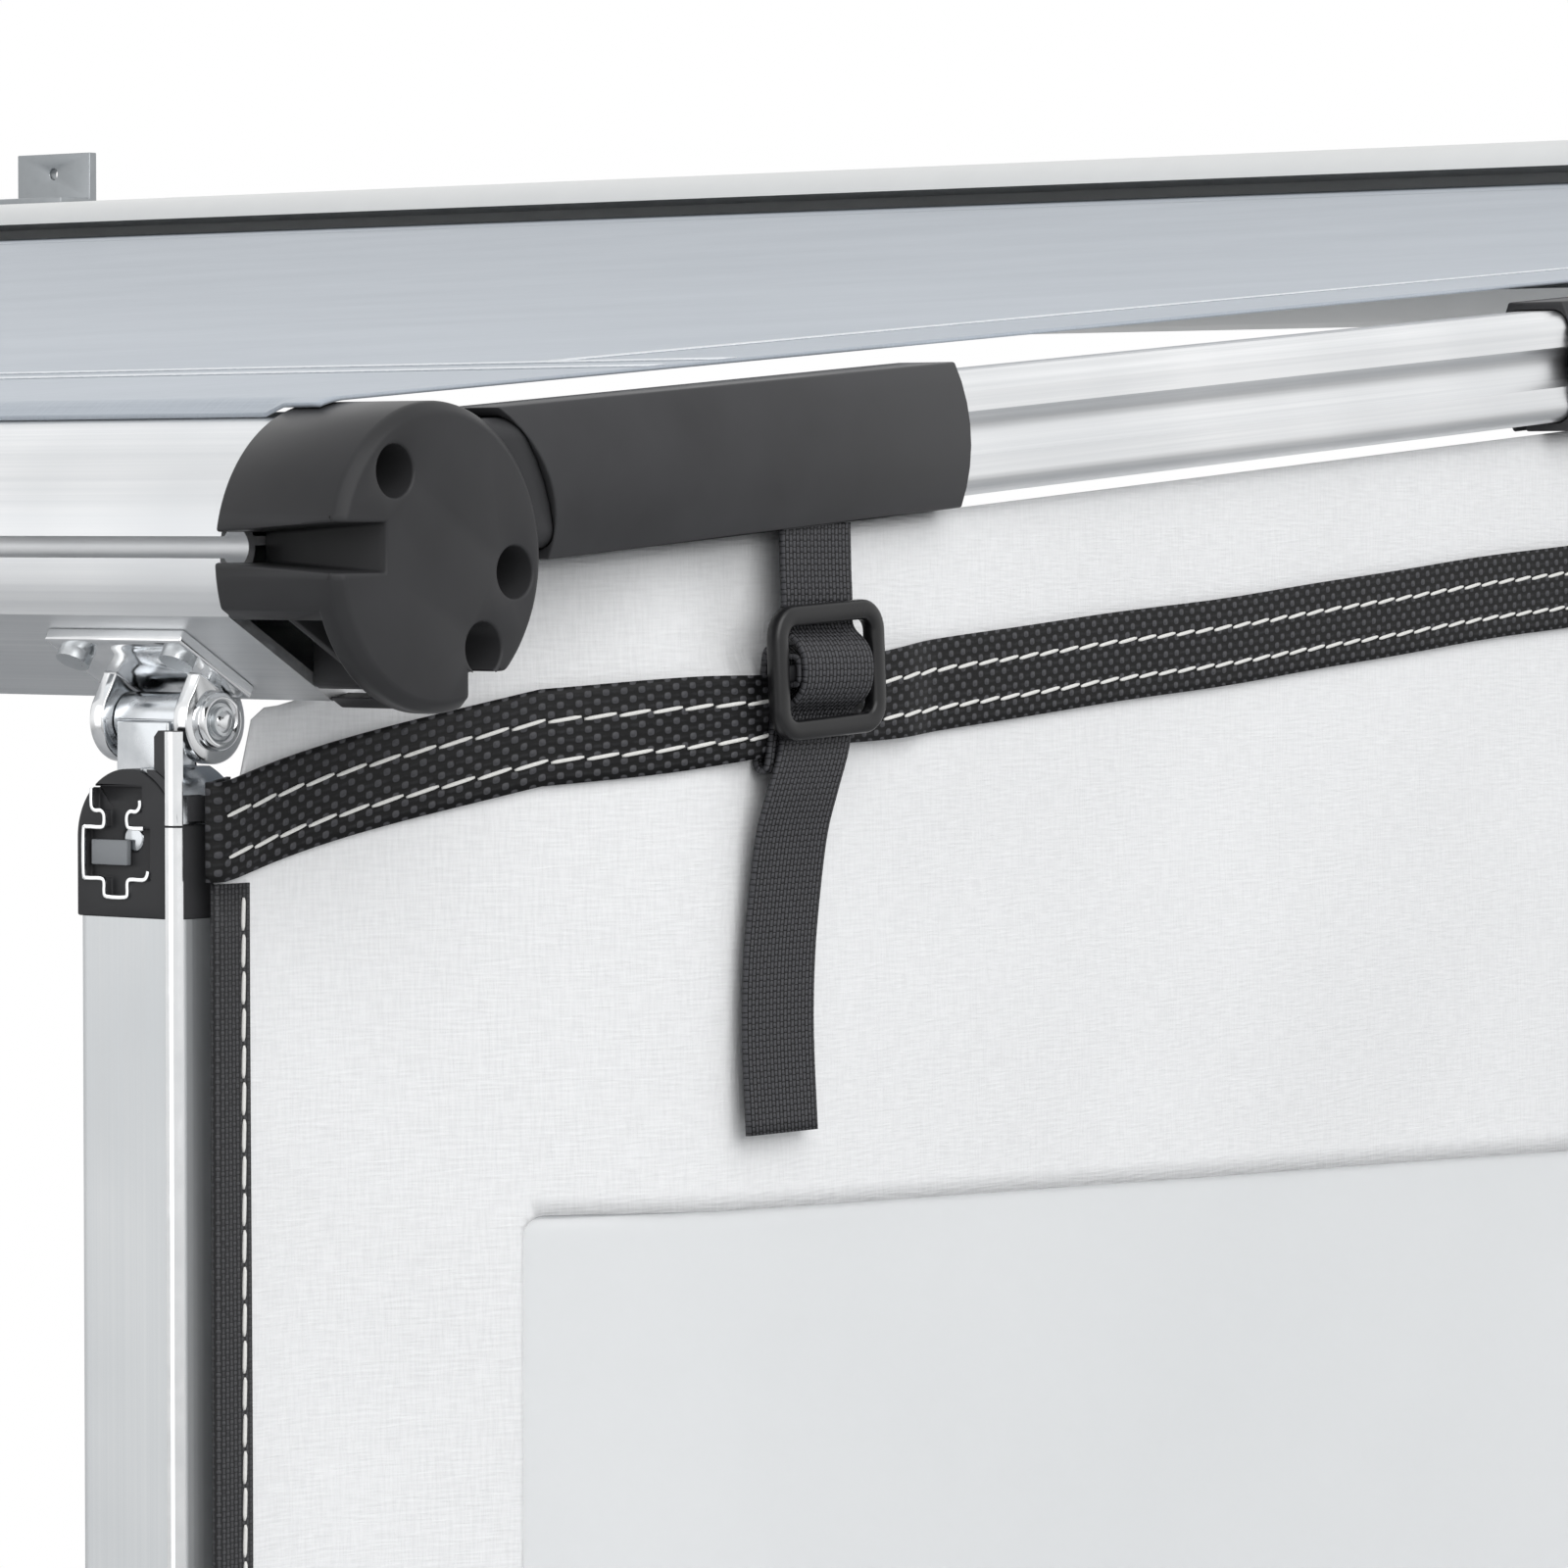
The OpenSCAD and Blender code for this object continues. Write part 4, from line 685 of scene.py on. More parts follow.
# %% Side panel outline
PANEL_FRONT = -14.7
PANEL_END = PROJECTION - 132.0
PANEL_LOW = 60.0 - RAIL_HEIGHT
LEG_LINE, RAFTER_LINE = -54.5, -14.0
WINDOW_FRONT, WINDOW_END = 62.5, PANEL_END - 90.0
WINDOW_TOP, WINDOW_LOW = -150.0, -770.0
WINDOW_LEAN = tan(radians(1.8))
WINDOW_ROUND = 5.0
WEB_DROP, WEB_DIP = 60.0, 13.0
STRAP_RUN = [94.0, 507.0, 820.0]
STRAP_Y = [42.0 + run * cos(PITCH) + SLEEVE_H / 2 * sin(PITCH) for run in STRAP_RUN]


def panel_x(y):
    """Plan line of the panel, outward from the end cap face, at y behind the rail axis."""
    return LEG_LINE + (RAFTER_LINE - LEG_LINE) * ease((y + 4.0) / 126.0)


def panel_side(y):
    """The outward direction of the panel at y."""
    run = Vector((panel_x(y + 0.5) - panel_x(y - 0.5), 1.0)).normalized()
    return Vector((run.y, -run.x, 0.0))


def webbing_z(y):
    """Height of the webbing's middle over the rail axis."""
    return rafter_z(y - PROJECTION) - RAIL_Z - WEB_DROP - WEB_DIP * clip((66.0 - y) / 78.0)


def panel_top(y):
    """Height of the panel's upper edge: below the sleeves and the rail, lower beside the leg."""
    under = rafter_z(y - PROJECTION) - RAIL_Z - (SLEEVE_H / 2 + 0.8) / cos(PITCH)
    corner = webbing_z(PANEL_FRONT) + 9.0
    rail_round = RAIL_R + 1.5
    beneath = min(under, -sqrt(rail_round ** 2 - y * y)) if abs(y) < rail_round else under
    return corner + (beneath - corner) * ease((y + 8.0) / 7.0)


def window_top(y):
    """Height of the window's upper edge, which falls a little towards the wall."""
    return WINDOW_TOP - WINDOW_LEAN * (y - WINDOW_FRONT)


def panel_wave(y, z):
    """How far the cloth stands out of its plan line."""
    held = ease((webbing_z(y) - 30.0 - z) / 60.0)
    free = ease((y - 20.0) / 60.0) * ease((PANEL_END - y) / 80.0)
    fold = 0.55 * sin(y / 23.0) + 0.45 * sin(y / 41.0 + 1.3)
    sway = 1.1 * sin(y / 170.0 + z / 900.0)
    pull = sum(exp(-((y - s + 13.0 + 0.25 * (z - webbing_z(s))) / 15.0) ** 2) for s in STRAP_Y)
    flap = -4.2 * pull * ease((z - webbing_z(y) - 4.0) / 12.0)
    return (0.45 * fold + sway) * held * free + flap


def panel_at(y, z, out=0.0):
    """The place of the panel's cloth at y and z, or out mm outside it."""
    return CORNER + Vector((panel_x(y), y, z)) + panel_side(y) * (panel_wave(y, z) + out)


# %% Side panel sheet
CORNER_STEP = 1.5
ys = [PANEL_FRONT + 4.0 * k for k in range(20)]
ys += [WINDOW_FRONT + CORNER_STEP * k for k in range(8)]
ys += [WINDOW_FRONT + 12.0 + 6.0 * k for k in range(60)]
ys += [ys[-1] + (WINDOW_END - 10.5 - ys[-1]) * k / 60 for k in range(1, 61)]
ys += [WINDOW_END - 9.0 + CORNER_STEP * k for k in range(7)]
ys += [WINDOW_END + 90.0 * k / 9 for k in range(1, 10)]
ys = sorted(y for y in set(round(y, 3) for y in ys) if y <= PANEL_END + 0.01)
ys = [y for k, y in enumerate(ys) if k == 0 or y - ys[k - 1] > 0.6]
levels = [k / 34 for k in range(34)]
below = [WINDOW_TOP - CORNER_STEP * k for k in range(7)]
below += [WINDOW_TOP - 12.0 - (WINDOW_TOP - WINDOW_LOW - 24.0) * k / 44 for k in range(45)]
below += [WINDOW_LOW + 9.0 - CORNER_STEP * k for k in range(7)]
below += [WINDOW_LOW + (PANEL_LOW - WINDOW_LOW) * k / 60 for k in range(1, 61)]


def panel_height(i, y):
    """Height of the panel's row i at y: rows above the window share out the space there."""
    top = window_top(max(WINDOW_FRONT, min(WINDOW_END, y)))
    if i < len(levels):
        return panel_top(y) + (top - panel_top(y)) * levels[i]
    z = below[i - len(levels)]
    if z < WINDOW_LOW:
        return z
    return WINDOW_LOW + (z - WINDOW_LOW) * (top - WINDOW_LOW) / (WINDOW_TOP - WINDOW_LOW)


def corner_centre(y, z):
    """The centre of the window corner that y and z lie in, or None along a straight side."""
    cy = max(WINDOW_FRONT + WINDOW_ROUND, min(WINDOW_END - WINDOW_ROUND, y))
    cz = max(WINDOW_LOW + WINDOW_ROUND, min(window_top(y) - WINDOW_ROUND, z))
    return (cy, cz) if cy != y and cz != z else None


def near_window(y, z, margin=0.0):
    """Whether y and z lie within the window's four sides, moved out by margin mm."""
    beside = WINDOW_FRONT - margin < y < WINDOW_END + margin
    return beside and WINDOW_LOW - margin < z < window_top(y) + margin


def in_window(y, z):
    """Whether the opening with its round corners takes in y and z."""
    centre = corner_centre(y, z)
    rounded = centre is None or hypot(y - centre[0], z - centre[1]) < WINDOW_ROUND
    return near_window(y, z) and rounded


RIM = 4.0
shape = cloth_grid(
    len(levels) + len(below) - 1, len(ys) - 1,
    lambda i, j: panel_at(ys[j], panel_height(i, ys[j])),
    lambda i, j: (ys[j], panel_height(i, ys[j])),
)
cut = shape.loops.layers.uv["cloth"]
opened = []
for face in shape.faces:
    middle = sum((corner[cut].uv for corner in face.loops), Vector((0.0, 0.0))) / len(face.loops)
    if in_window(middle.x / MM, middle.y / MM):
        opened.append(face)
bmesh.ops.delete(shape, geom=opened, context="FACES")
for v in shape.verts:
    if not any(e.is_boundary for e in v.link_edges):
        continue
    local = v.co / MM - CORNER
    centre = corner_centre(local.y, local.z)
    if centre is not None and near_window(local.y, local.z, RIM):
        arm = Vector((local.y - centre[0], local.z - centre[1])).normalized() * WINDOW_ROUND
        v.co = panel_at(centre[0] + arm.x, centre[1] + arm.y) * MM
side_panel = thicken(settle("side_panel_sheet", shape, panel_cloth), CLOTH_T)
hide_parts("side_panel")
print("side panel", len(side_panel.data.polygons), "faces")

# %% [markdown]
# ## Window film
#
# The window is clear vinyl on the inside of the cloth. It laps over the cloth by a narrow
# margin all round the opening.

# %% Window film sheet
FILM_LAP, FILM_BEHIND, FILM_T = 10.0, 0.95, 0.5
film_l = WINDOW_END - WINDOW_FRONT + 2 * FILM_LAP
film_h = WINDOW_TOP - WINDOW_LOW + 2 * FILM_LAP
film_y = [WINDOW_FRONT - FILM_LAP + film_l * k / 120 for k in range(121)]
film_z = [WINDOW_LOW - FILM_LAP + film_h * k / 40 for k in range(41)]
shape = cloth_grid(
    len(film_z) - 1, len(film_y) - 1,
    lambda i, j: panel_at(film_y[j], film_z[i], -FILM_BEHIND),
    lambda i, j: (film_y[j], film_z[i]),
)
window_film = thicken(settle("panel_window_film", shape, film), FILM_T)
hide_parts("panel_window")
print("film", len(window_film.data.polygons), "faces")

# %% [markdown]
# ## Webbing on the panel
#
# A black tape is sewn along the panel below the rafter. Where a strap loop can pass behind it,
# it stands off the cloth, and at each loop it is drawn a little narrower. It is built as a
# ribbon along its own line, and two rows of white stitches lie on it as single thread lengths.

# %% Webbing ribbon
WEBBING_W, PINCH, TAPE_T = 22.0, 4.5, 1.3
STAND_IN, STAND_OUT = 1.6, 4.0
web_y = [PANEL_FRONT + 1.0 + (PANEL_END - 2.0 - PANEL_FRONT) * k / 420 for k in range(421)]
TURN_IN = [(6.0, -1.5), (1.5, -1.5), (-0.6, -1.2), (-1.5, -0.5), (-1.6, 0.5), (-0.8, 1.3)]
ACROSS = [-0.5, -0.42, -0.2, 0.0, 0.2, 0.42, 0.5]


def strap_near(y):
    """1 where a strap loop can come to lie as the rail rolls in, 0 away from there."""
    sweeps = ((STRAP_Y[0], STRAP_Y[0] + 20.0), (STRAP_Y[1], PANEL_END - 150.0))
    away = min(max(low - y, y - high, 0.0) for low, high in sweeps)
    return clip((32.5 - away) / 16.0)


def webbing_point(y, v, lift=0.0):
    """A point of the webbing: v is its share of the width, upward."""
    pinch = max(exp(-((y - s) / 26.0) ** 2) for s in STRAP_Y)
    width = WEBBING_W - PINCH * pinch
    stand = STAND_IN + (STAND_OUT - STAND_IN) * ease(strap_near(y)) + 0.35 * (1 - (2 * v) ** 2)
    ripple = 0.12 * sin(y / 13.0) + 0.3 * sin(y / 31.0 + 0.7)
    out = panel_side(y) * (stand + lift)
    return CORNER + Vector((panel_x(y), y, webbing_z(y) + v * width + ripple)) + out


def webbing_row(i, v):
    """Row i of the tape: the first rows come round the panel's front edge from the inside."""
    if i >= len(TURN_IN):
        return webbing_point(web_y[i - len(TURN_IN)], v)
    behind, out = TURN_IN[i]
    y = PANEL_FRONT + behind
    return CORNER + Vector((LEG_LINE + out, y, webbing_z(y) + v * WEBBING_W))


web_run = run_lengths([webbing_row(i, 0.0) for i in range(len(TURN_IN) + len(web_y))])
shape = cloth_grid(
    len(web_run) - 1, len(ACROSS) - 1,
    lambda i, j: webbing_row(i, ACROSS[j]),
    lambda i, j: (web_run[i], WEBBING_W * ACROSS[j]),
)
webbing = thicken(settle("panel_webbing_tape", shape, edge_webbing), TAPE_T)
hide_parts("panel_webbing")
print("webbing run", round(web_run[-1]), "mm")


# %% Stitches on the webbing
def stitch(shape, start, end, out, radius):
    """One visible thread length from start to end, in mm, with blunt ends."""
    run = end - start
    side = out.cross(run).normalized()
    turn = Matrix((run.normalized(), side, run.normalized().cross(side))).transposed()
    size = Matrix.Diagonal((run.length / 2, radius, radius * 0.8))
    place = Matrix.Translation((start + end) / 2 * MM) @ (turn @ size * MM).to_4x4()
    made = bmesh.ops.create_icosphere(shape, subdivisions=2, radius=1.0)["verts"]
    for v in made:
        thin = hypot(v.co.y, v.co.z)
        if thin > 0.01:
            fuller = (1 - min(1.0, abs(v.co.x)) ** 6) ** 0.4 / thin
            v.co.y *= fuller
            v.co.z *= fuller
    bmesh.ops.transform(shape, matrix=place, verts=made)


WEB_STITCH, WEB_PITCH, WEB_THREAD = 7.9, 8.1, 0.46
SLANT, ON_TAPE = 0.016, 0.85
shape = bmesh.new()
sewn = 0
for v, shift in ((0.17, 0.0), (-0.25, 0.6)):
    y = PANEL_FRONT + 1.0 + shift
    while y < PANEL_END - 8.0:
        start = webbing_point(y, v - SLANT, ON_TAPE)
        end = webbing_point(y + WEB_STITCH, v + SLANT, ON_TAPE)
        stitch(shape, start, end, panel_side(y), WEB_THREAD)
        y += WEB_PITCH
        sewn += 1
webbing_stitches = settle("panel_webbing_stitches", shape, thread, sharp=180.0)
print("webbing stitches", sewn)

# %% [markdown]
# ## Binding on the front edge
#
# The front edge of the panel is bound with a folded tape, sewn through once. The tape wraps
# both faces of the cloth, so its section is a narrow hairpin that runs down the edge.

# %% Binding and its stitches
BIND_STITCH, BIND_PITCH, BIND_THREAD = 7.7, 8.2, 0.55
BIND_T = 0.6
BIND_TOP = webbing_z(PANEL_FRONT) - 11.5
bind_z = [BIND_TOP + (PANEL_LOW - 0.5 - BIND_TOP) * k / 150 for k in range(151)]
hairpin = [(1.0, 10.0), (1.05, 6.0), (1.05, 2.0), (1.0, 0.4), (0.7, -0.3), (0.0, -0.6)]
hairpin += [(-x, y) for x, y in reversed(hairpin[:-1])]
hairpin_run = run_lengths([Vector(p) for p in hairpin])


def binding_point(i, j):
    """Row i down the edge, column j round the hairpin, whose open ends wander a little."""
    x, y = hairpin[j]
    wander = 0.25 * sin(bind_z[i] / 47.0)
    return CORNER + Vector((LEG_LINE + x, PANEL_FRONT + y + (wander if y > 5 else 0.0), bind_z[i]))


shape = cloth_grid(
    len(bind_z) - 1, len(hairpin) - 1, binding_point, lambda i, j: (bind_z[i], hairpin_run[j]),
)
binding = thicken(settle("panel_binding_tape", shape, binding_tape), BIND_T)
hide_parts("panel_binding")
shape = bmesh.new()
sewn = 0
z = BIND_TOP - 3.0
while z > PANEL_LOW + 8.0:
    foot = CORNER + Vector((LEG_LINE + 1.5, PANEL_FRONT + 7.6, z))
    stitch(shape, foot, foot - Vector((0.0, 0.3, BIND_STITCH)), Vector((1.0, 0.0, 0.0)), BIND_THREAD)
    z -= BIND_PITCH
    sewn += 1
binding_stitches = settle("panel_binding_stitches", shape, thread, sharp=180.0)
print("binding stitches", sewn)

# %% [markdown]
# ## Straps
#
# Each strap comes out of its sleeve, passes behind the buckle's upper bar, bulges over the
# middle bar, goes behind the lower bar and ends in a free tail. A short closed loop holds the
# buckle's middle bar to the webbing. A few listed points give the route, and a smooth curve
# through them gives the ribbon.

# %% Strap ribbons
STRAP_ROUTE = [
    (7, 0, 43.2), (7, 0, 40), (7.2, 0, 32), (7.5, 0, 26), (7.5, 0, 20.5), (8.7, 0, 17.8), (11.6, 0, 15.4),
    (13.4, 0, 12.6), (13.9, 0, 9), (13.4, 0, 5.4), (11.6, 0, 2.6), (8.7, 0, 0.2), (7.5, 0, -2.5),
    (7.5, -0.5, -7), (7.8, -2.4, -12), (7.2, -5.2, -20), (5.8, -7, -29), (4.8, -8.4, -42), (4.4, -10, -58),
    (4.6, -10.7, -76), (5.4, -10.2, -98.5),
]
LOOP_ROUTE = [
    (12.1, 0, 9), (12.1, 0, 10.8), (11.7, 0, 11.9), (10.4, 0, 12.2), (8, 0, 12.3), (5.8, 0, 13.9),
    (3.6, 0, 14.2), (2.1, 0, 12.9), (1.75, -0.4, 9), (1.75, -1.6, 0), (1.75, -3, -9), (2.1, -3.6, -12.9),
    (3.9, -3.8, -14.3), (5.4, -3.6, -13.2), (5.65, -3, -9), (5.65, -1.4, -1), (6.1, -0.5, 3.4),
    (7.3, 0, 5.4), (9.4, 0, 5.8), (11.2, 0, 5.8), (11.9, 0, 6.4), (12.1, 0, 7.4),
]


def smooth_route(points, closed, steps):
    """A Catmull-Rom curve through the points, with steps points to each span."""
    points = [Vector(p) for p in points]
    if closed:
        points = points[-1:] + points + points[:2]
    else:
        points = points[:1] + points + points[-1:]
    line = []
    for a, b, c, d in zip(points, points[1:], points[2:], points[3:]):
        for step in range(steps):
            t = step / steps
            bend = (2 * a - 5 * b + 4 * c - d) * t * t
            turn = (3 * b - a - 3 * c + d) * t ** 3
            line.append(0.5 * (2 * b + (c - a) * t + bend + turn))
    line.append(points[-2])
    return line


STRAP_W = 25.0
STRAP_ACROSS = [STRAP_W * share for share in (-0.5, -0.44, -0.25, 0.0, 0.25, 0.44, 0.5)]


def strap_base(i):
    """The point on the panel, at the webbing's middle, from which strap i is measured."""
    y = STRAP_Y[i]
    return CORNER + Vector((RAFTER_LINE, y, webbing_z(y)))


def strap_ribbon(name, route, closed, base):
    """A flat strap along the route, its width along the wall-ward direction, and its length."""
    line = smooth_route(route, closed, 5)
    run = run_lengths(line)
    shape = cloth_grid(
        len(line) - 1, len(STRAP_ACROSS) - 1,
        lambda i, j: base + line[i] + Vector((0.0, STRAP_ACROSS[j], 0.0)),
        lambda i, j: (run[i], STRAP_ACROSS[j]),
    )
    if closed:
        bmesh.ops.remove_doubles(shape, verts=shape.verts, dist=0.001 * MM)
    made = thicken(settle(name, shape, strap_webbing, "front", 180.0), TAPE_T)
    return made, run[-1]


for i in range(len(STRAP_Y)):
    strap, strap_len = strap_ribbon("strap_" + str(i + 1), STRAP_ROUTE, False, strap_base(i))
    loop_len = strap_ribbon("strap_loop_" + str(i + 1), LOOP_ROUTE, True, strap_base(i))[1]
    if i == 0:
        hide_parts("straps")
print("strap", round(strap_len), "mm, loop", round(loop_len), "mm")

# %% [markdown]
# ## Buckles
#
# A tri-glide buckle is a moulded frame with rounded corners and a middle bar that sits
# further back. The frame is one rounded section drawn round a rounded rectangle, as a mould
# maker would cut it; the bar is a cube with bevelled edges.


# %% Section drawn along a flat path
def drawn_section(points, closed, normal, section):
    """A mesh of a closed section, in mm across the path and along the normal of its plane."""
    count = len(points)
    first, last = points[:1], points[-1:]
    around = last + points + first if closed else first + points + last
    sides = [(b - a).normalized().cross(normal) for a, b in zip(around, around[2:])]

    def place(i, j):
        across, out = section[j % len(section)]
        return points[i % count] + sides[i % count] * across + normal * out

    rows = count if closed else count - 1
    shape = cloth_grid(rows, len(section), place, lambda i, j: (2.0 * i, 1.0 * j))
    bmesh.ops.remove_doubles(shape, verts=shape.verts, dist=0.001 * MM)
    open_edges = [e for e in shape.edges if e.is_boundary]
    bmesh.ops.holes_fill(shape, edges=open_edges, sides=0)
    bmesh.ops.recalc_face_normals(shape, faces=shape.faces)
    return shape


def pillow(width, depth, count):
    """A section between an ellipse and a rectangle."""
    def bulge(c):
        return copysign(abs(c) ** 0.55, c) / 2

    turns = [2 * pi * k / count for k in range(count)]
    return [(width * bulge(cos(a)), depth * bulge(sin(a))) for a in turns]


# %% Tri-glide buckles
BUCKLE_W, BUCKLE_H, BUCKLE_BAR, BUCKLE_D = 40.4, 31.4, 4.8, 4.0
BUCKLE_AT = Vector((8.6, 0.0, 9.0))
FRAME_TURN = 5.2
MIDDLE_BAR = Vector((2.6, BUCKLE_W - 5.0, 4.0))
HANG = Matrix.Rotation(radians(3.0), 3, "X")
OUTWARD = Vector((1.0, 0.0, 0.0))
buckle_path = []
for corner, (right, up) in enumerate(((1, 1), (-1, 1), (-1, -1), (1, -1))):
    for k in range(9):
        a = pi / 2 * (corner + k / 8)
        y = right * ((BUCKLE_W - BUCKLE_BAR) / 2 - FRAME_TURN) + FRAME_TURN * cos(a)
        z = up * ((BUCKLE_H - BUCKLE_BAR) / 2 - FRAME_TURN) + FRAME_TURN * sin(a)
        buckle_path.append(Vector((0.0, y, z)))


def buckle_bar(shape, base):
    """The middle bar, a rounded rod behind the frame's face."""
    made = bmesh.ops.create_cube(shape, size=1.0)["verts"]
    bmesh.ops.scale(shape, vec=MIDDLE_BAR * MM, verts=made)
    bmesh.ops.translate(shape, verts=made, vec=(base + OUTWARD * MIDDLE_BAR.x / 2) * MM)
    round_edges(shape, list(dict.fromkeys(e for v in made for e in v.link_edges)), 0.8)


for i in range(len(STRAP_Y)):
    base = strap_base(i) + BUCKLE_AT
    path = [base + OUTWARD * BUCKLE_D / 2 + p for p in buckle_path]
    shape = drawn_section(path, True, OUTWARD, pillow(BUCKLE_BAR, BUCKLE_D, 16))
    buckle_bar(shape, base)
    bmesh.ops.rotate(shape, verts=shape.verts, cent=base * MM, matrix=HANG)
    buckle = settle("buckle_" + str(i + 1), shape, buckle_acetal, "front", 60.0)
    if i == 0:
        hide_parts("buckles")
print("buckle frame", len(buckle.data.polygons), "faces")

# %% [markdown]
# ## Painted highlights on the leg heads
#
# The black head carries two bright plated pieces that stand in for painted highlights: a thin
# bead round the latch recess, where its edges would shine, and a narrow rounded strip up the
# outer front corner of the leg, which carries the tube's corner shine on up the black head.

# %% Recess beads and corner strips as painted highlights
SIDES = ((1, "right"), (-1, "left"))
LEG_X, LEG_Y = HALF_W - 75.5, 11.5
LEG_W, LEG_D = 31.0, 19.0
HEAD_LOW, TUBE_L, CLAMP_ROOM = 17.5, 1000.0, 26.0
RAIL_LEAN = radians(30)
TILT_ALONG, TILT_OUT = 11.3, 25.8 + 9.8
TILT_Y = TILT_ALONG * cos(RAIL_LEAN) - TILT_OUT * sin(RAIL_LEAN)
TILT_Z = -TILT_ALONG * sin(RAIL_LEAN) - TILT_OUT * cos(RAIL_LEAN)
FOLD_Z = {"right": RAIL_Z + TILT_Z - 26.0, "left": RAIL_Z + TILT_Z - 74.0}
LEG_FRONT = -PROJECTION - LEG_Y - LEG_D / 2
HIGHLIGHT_BEADS = [
    [(-10.5, 11.0), (-10.5, 7.2), (-9.4, 6.1), (-7.6, 6.1), (-6.6, 5.2), (-6.6, 3.3), (-7.5, 2.4),
     (-12, 2.4), (-13, 1.4), (-13, -8), (-12, -9), (-7.6, -9), (-6.6, -9.9), (-6.6, -12.1), (-5.7, -13),
     (-0.3, -13), (0.6, -12.1), (0.6, -9.9), (1.5, -9), (5.4, -9), (6.6, -8.2), (7, -7)],
    [(4.5, 8.6), (4.5, 7.2), (3.4, 6.1), (1.6, 6.1), (0.6, 5.2), (0.6, 3.3), (1.5, 2.4), (5.6, 2.4)],
]
STRIP_LOW, STRIP_TOP = -HEAD_LOW - TUBE_L + CLAMP_ROOM, 2.8
guard = [(3.4, 0.05), (3.2, -0.45), (2.9, -0.6)]
guard += [(1.4 - 2.0 * sin(a), 1.4 - 2.0 * cos(a)) for a in (pi / 16 * k for k in range(9))]
guard += [(0.05, 1.9), (0.8, 1.9), (0.8, 0.8), (3.4, 0.8)]
COS_45 = 0.7071
STRIP_SECTION = [(COS_45 * (q - p), -COS_45 * (p + q)) for p, q in guard]


def highlight_strip(name, side, low, rise, steps, body):
    """A bright plated strip up a leg's outer front corner, from low by rise mm, as a painted highlight."""
    corner = side * (LEG_X + LEG_W / 2)
    line = [Vector((corner, LEG_FRONT, low + rise * k / steps)) for k in range(steps + 1)]
    out = Vector((side * COS_45, -COS_45, 0.0))
    settle(name, drawn_section(line, False, out, STRIP_SECTION), bright_plate, body)


for side, label in SIDES:
    for n, bead in enumerate(HIGHLIGHT_BEADS):
        route = [(side * (LEG_X + x), LEG_FRONT - 0.15, FOLD_Z[label] + z) for x, z in bead]
        line = smooth_route(route, False, 3)
        shape = drawn_section(line, False, Vector((0.0, -1.0, 0.0)), pillow(1.0, 0.9, 8))
        # Painted highlight: a bright plated bead traces the recess edges where they would shine.
        settle("leg_recess_bead_" + label + "_" + str(n + 1), shape, bright_plate, "leg_" + label)
    low = FOLD_Z[label] + STRIP_LOW
    # Painted highlight: a bright plated strip carries the corner shine up the black head.
    highlight_strip("leg_corner_highlight_strip_" + label, side, low, STRIP_TOP - STRIP_LOW, 60, "leg_" + label)
print("recess beads and corner strips made")

# %% [markdown]
# ## Covers on the knuckles
#
# Black covers lie over the outer shoulder of each knuckle and rise beside its bar, so that the
# head and the shoulder read as one form. A bright plated strip, a painted highlight, runs on up
# their corner.

# %% Knuckle covers
SHOULDER = [(15.5, 10.0), (14.0, 11.72), (12.5, 13.1), (11.0, 14.22), (9.4, 15.2), (8.6, 15.64)]
HORN = SHOULDER + [(8.6, 22.8), (9.9, 24.2), (15.5, 24.2)]
ROUND = [(16.0 * cos(a), 16.0 * sin(a)) for a in (radians(39 + 4.2 * k) for k in range(7))]
FRONT_SKIN = [(12.3, 13.2), (12.3, 10.25)] + ROUND + [(6.6, 15.5), (8.6, 15.5), (9.4, 15.1), (11.0, 14.1)]
SIDE_SKIN = [(3.4, 4.1), (18.8, 4.1), (18.8, 9.7), (3.4, 9.7)]
SKIN_IN, SKIN_OUT = 0.02, 0.35
COVERS = (("horn", HORN, 0.0, 1.7), ("front", FRONT_SKIN, -SKIN_OUT, -SKIN_IN))
COVER_LOW, COVER_RISE = 3.3, 20.7
UP = Vector((0.0, 0.0, 1.0))


def cover(name, start, end, outline, body):
    """A flat plate between two points, its outline given across the way and upwards."""
    shape = drawn_section([Vector(start), Vector(end)], False, UP, outline)
    settle("knuckle_cover_" + name, shape, sleeve_nylon, body)


for side, label in SIDES:
    fold_z = FOLD_Z[label]
    knuckle = "knuckle_" + label
    middle, corner = side * LEG_X, side * (LEG_X + LEG_W / 2)
    for part, outline, near, deep in COVERS:
        start, end = (middle, LEG_FRONT + near, fold_z), (middle, LEG_FRONT + deep, fold_z)
        cover(part + "_" + label, start, end, [(side * x, z) for x, z in outline], knuckle)
    start, end = ((corner + side * out, LEG_FRONT, fold_z) for out in (SKIN_IN, SKIN_OUT))
    cover("side_" + label, start, end, [(-side * y, z) for y, z in SIDE_SKIN], knuckle)
    # Painted highlight: the bright strip carries the corner shine up the cover's edge.
    highlight_strip("knuckle_corner_highlight_strip_" + label, side, fold_z + COVER_LOW, COVER_RISE, 10, knuckle)
print("knuckle covers made")

# %% Turned bosses on the tilt pins
BOSS = [
    (0.0, 3.2), (1.6, 3.1), (2.5, 2.8), (2.9, 2.2), (3.1, 1.5), (3.9, 1.2), (4.3, 1.5), (4.7, 2.0),
    (5.4, 2.2), (6.1, 2.0), (6.6, 1.4), (6.7, 0.7), (6.7, 0.0), (0.0, 0.0),
]
BOSS_STEPS, EAR_FACE = 48, 15.0


def boss_point(i, j):
    """Point j of the boss's outline, turned about the pin by i steps."""
    r, x = BOSS[j]
    a = 2 * pi * i / BOSS_STEPS
    return x, r * cos(a), r * sin(a)


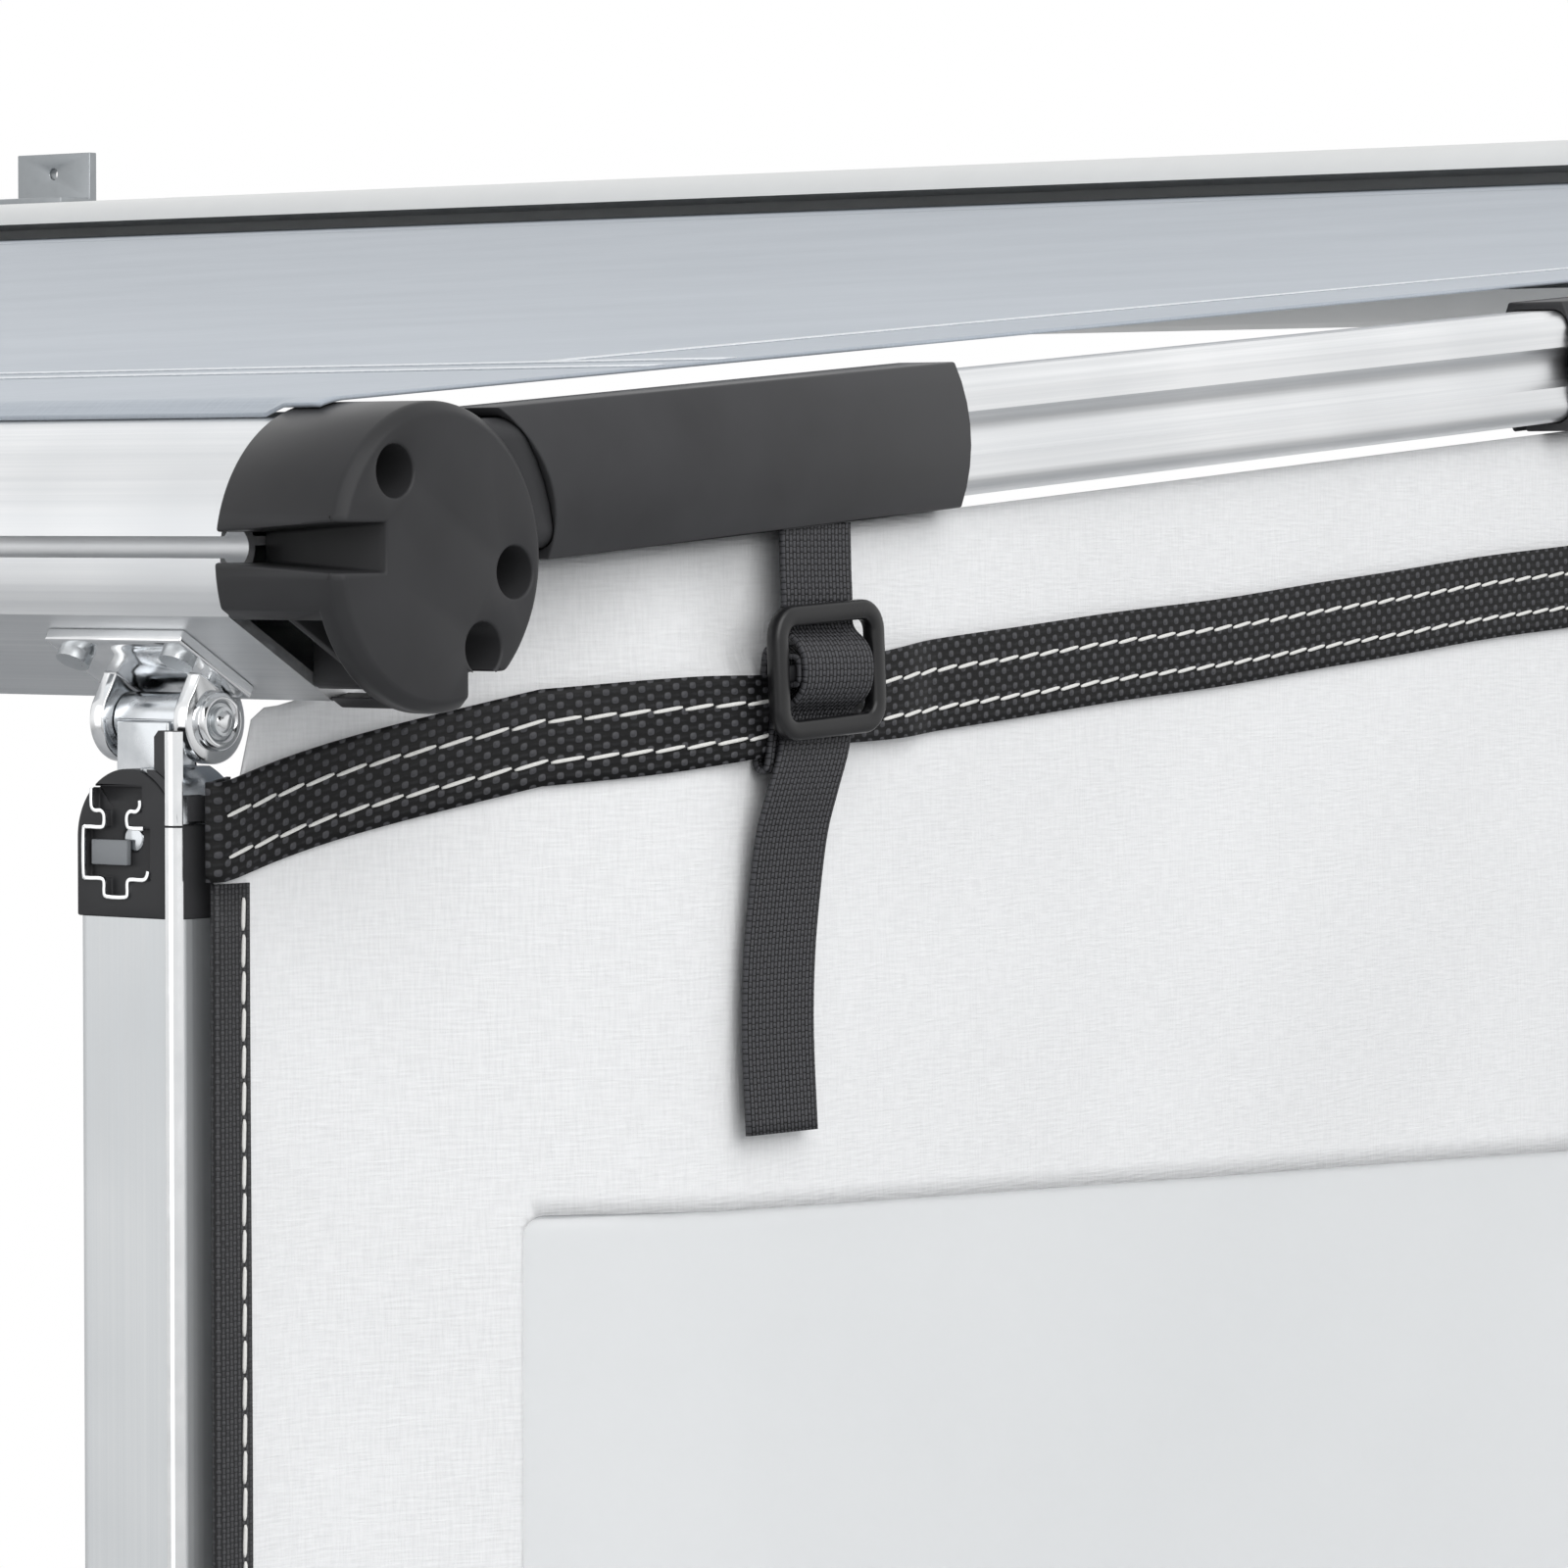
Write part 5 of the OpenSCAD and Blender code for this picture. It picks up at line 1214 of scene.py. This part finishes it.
for side, label in SIDES:
    for face in (1, -1):
        shape = cloth_grid(BOSS_STEPS, len(BOSS) - 1, boss_point, lambda i, j: BOSS[j])
        bmesh.ops.remove_doubles(shape, verts=shape.verts, dist=0.001 * MM)
        bmesh.ops.scale(shape, vec=(face, 1.0, 1.0), verts=shape.verts)
        bmesh.ops.recalc_face_normals(shape, faces=shape.faces)
        place = Vector((side * LEG_X + face * EAR_FACE, -PROJECTION + TILT_Y, RAIL_Z + TILT_Z))
        bmesh.ops.translate(shape, verts=shape.verts, vec=place * MM)
        settle("leg_tilt_boss_" + label + ("_out" if face == side else "_in"), shape, bright_plate, "front")
print("tilt pin bosses made")

# %% [markdown]
# ## Wound cloth and keder rod
#
# The last turns of the canopy stay on the roller. They are a real spiral, so the end shows
# its layers. The canopy's front hem holds a vinyl rod in the rail's upper channel.

# %% Wound cloth on the roller
TURNS, STEPS = 2, 64
WOUND_IN, WOUND_T = 0.35, 0.6
shape = bmesh.new()
first = [Vector((x, -ROLLER_Y, ROLLER_R + WOUND_IN)) * MM for x in (-CANOPY_HALF, CANOPY_HALF)]
edge = shape.edges.new([shape.verts.new(point) for point in first])
for turned in range(1, TURNS * STEPS + 1):
    grown = bmesh.ops.extrude_edge_only(shape, edges=[edge])["geom"]
    edge = next(g for g in grown if isinstance(g, bmesh.types.BMEdge))
    a = 2 * pi * turned / STEPS
    r = ROLLER_R + WOUND_IN + (ROLL_R - ROLLER_R - 2 * WOUND_IN) * turned / (TURNS * STEPS)
    for v in edge.verts:
        v.co.y = (-ROLLER_Y + r * sin(a)) * MM
        v.co.z = r * cos(a) * MM
cut = shape.loops.layers.uv.new("cloth")
for face in shape.faces:
    for corner in face.loops:
        x, y, z = corner.vert.co
        corner[cut].uv = (x, atan2(y + ROLLER_Y * MM, z) * ROLL_R * MM)
wound = thicken(settle("canopy_wound_cloth", shape, canopy_cloth, "roller", 180.0), WOUND_T)
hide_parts("canopy_roll")
print("wound turns", TURNS)

# %% Keder rod in the rail
ROD_R, ROD_L, ROD_DROP = 3.2, 2 * (HALF_W - 36.0), 4.8
FLAG_T, FLAG_H = 1.2, 4.7
shape = bmesh.new()
rod = bmesh.ops.create_cone(
    shape, cap_ends=True, segments=20, radius1=ROD_R * MM, radius2=ROD_R * MM, depth=ROD_L * MM,
)["verts"]
bmesh.ops.rotate(shape, verts=rod, cent=(0, 0, 0), matrix=Matrix.Rotation(pi / 2, 3, "Y"))
flag = bmesh.ops.create_cube(shape, size=1.0)["verts"]
bmesh.ops.scale(shape, vec=(ROD_L * MM, FLAG_T * MM, FLAG_H * MM), verts=flag)
bmesh.ops.translate(shape, verts=flag, vec=(0.0, 0.0, FLAG_H / 2 * MM))
bmesh.ops.translate(shape, verts=shape.verts, vec=(RAIL + Vector((0.0, 0.0, RAIL_R - ROD_DROP))) * MM)
keder = settle("canopy_keder_rod", shape, keder_rubber, "front")
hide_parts("canopy_keder")
print("keder rod made")

# %% [markdown]
# ## Soft goods baked in place
#
# On the real awning, when the lead rail rolls in, the canopy and the panel shorten between the
# wall and the rail. Here each soft piece and the first strip off the roller only have their
# placing baked into their meshes; nothing makes them follow the rafters or the rail.


def follow_rail(soft):
    """Bakes a soft piece's placing into its mesh; it does not make it shorten or follow the rail."""
    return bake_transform(soft)


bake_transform(leader)
for soft in [canopy] + canopy_seams:
    follow_rail(soft)
for soft in (side_panel, window_film, webbing, webbing_stitches, binding, binding_stitches):
    follow_rail(soft)

# %% Measure the bounds of the object
low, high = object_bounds()
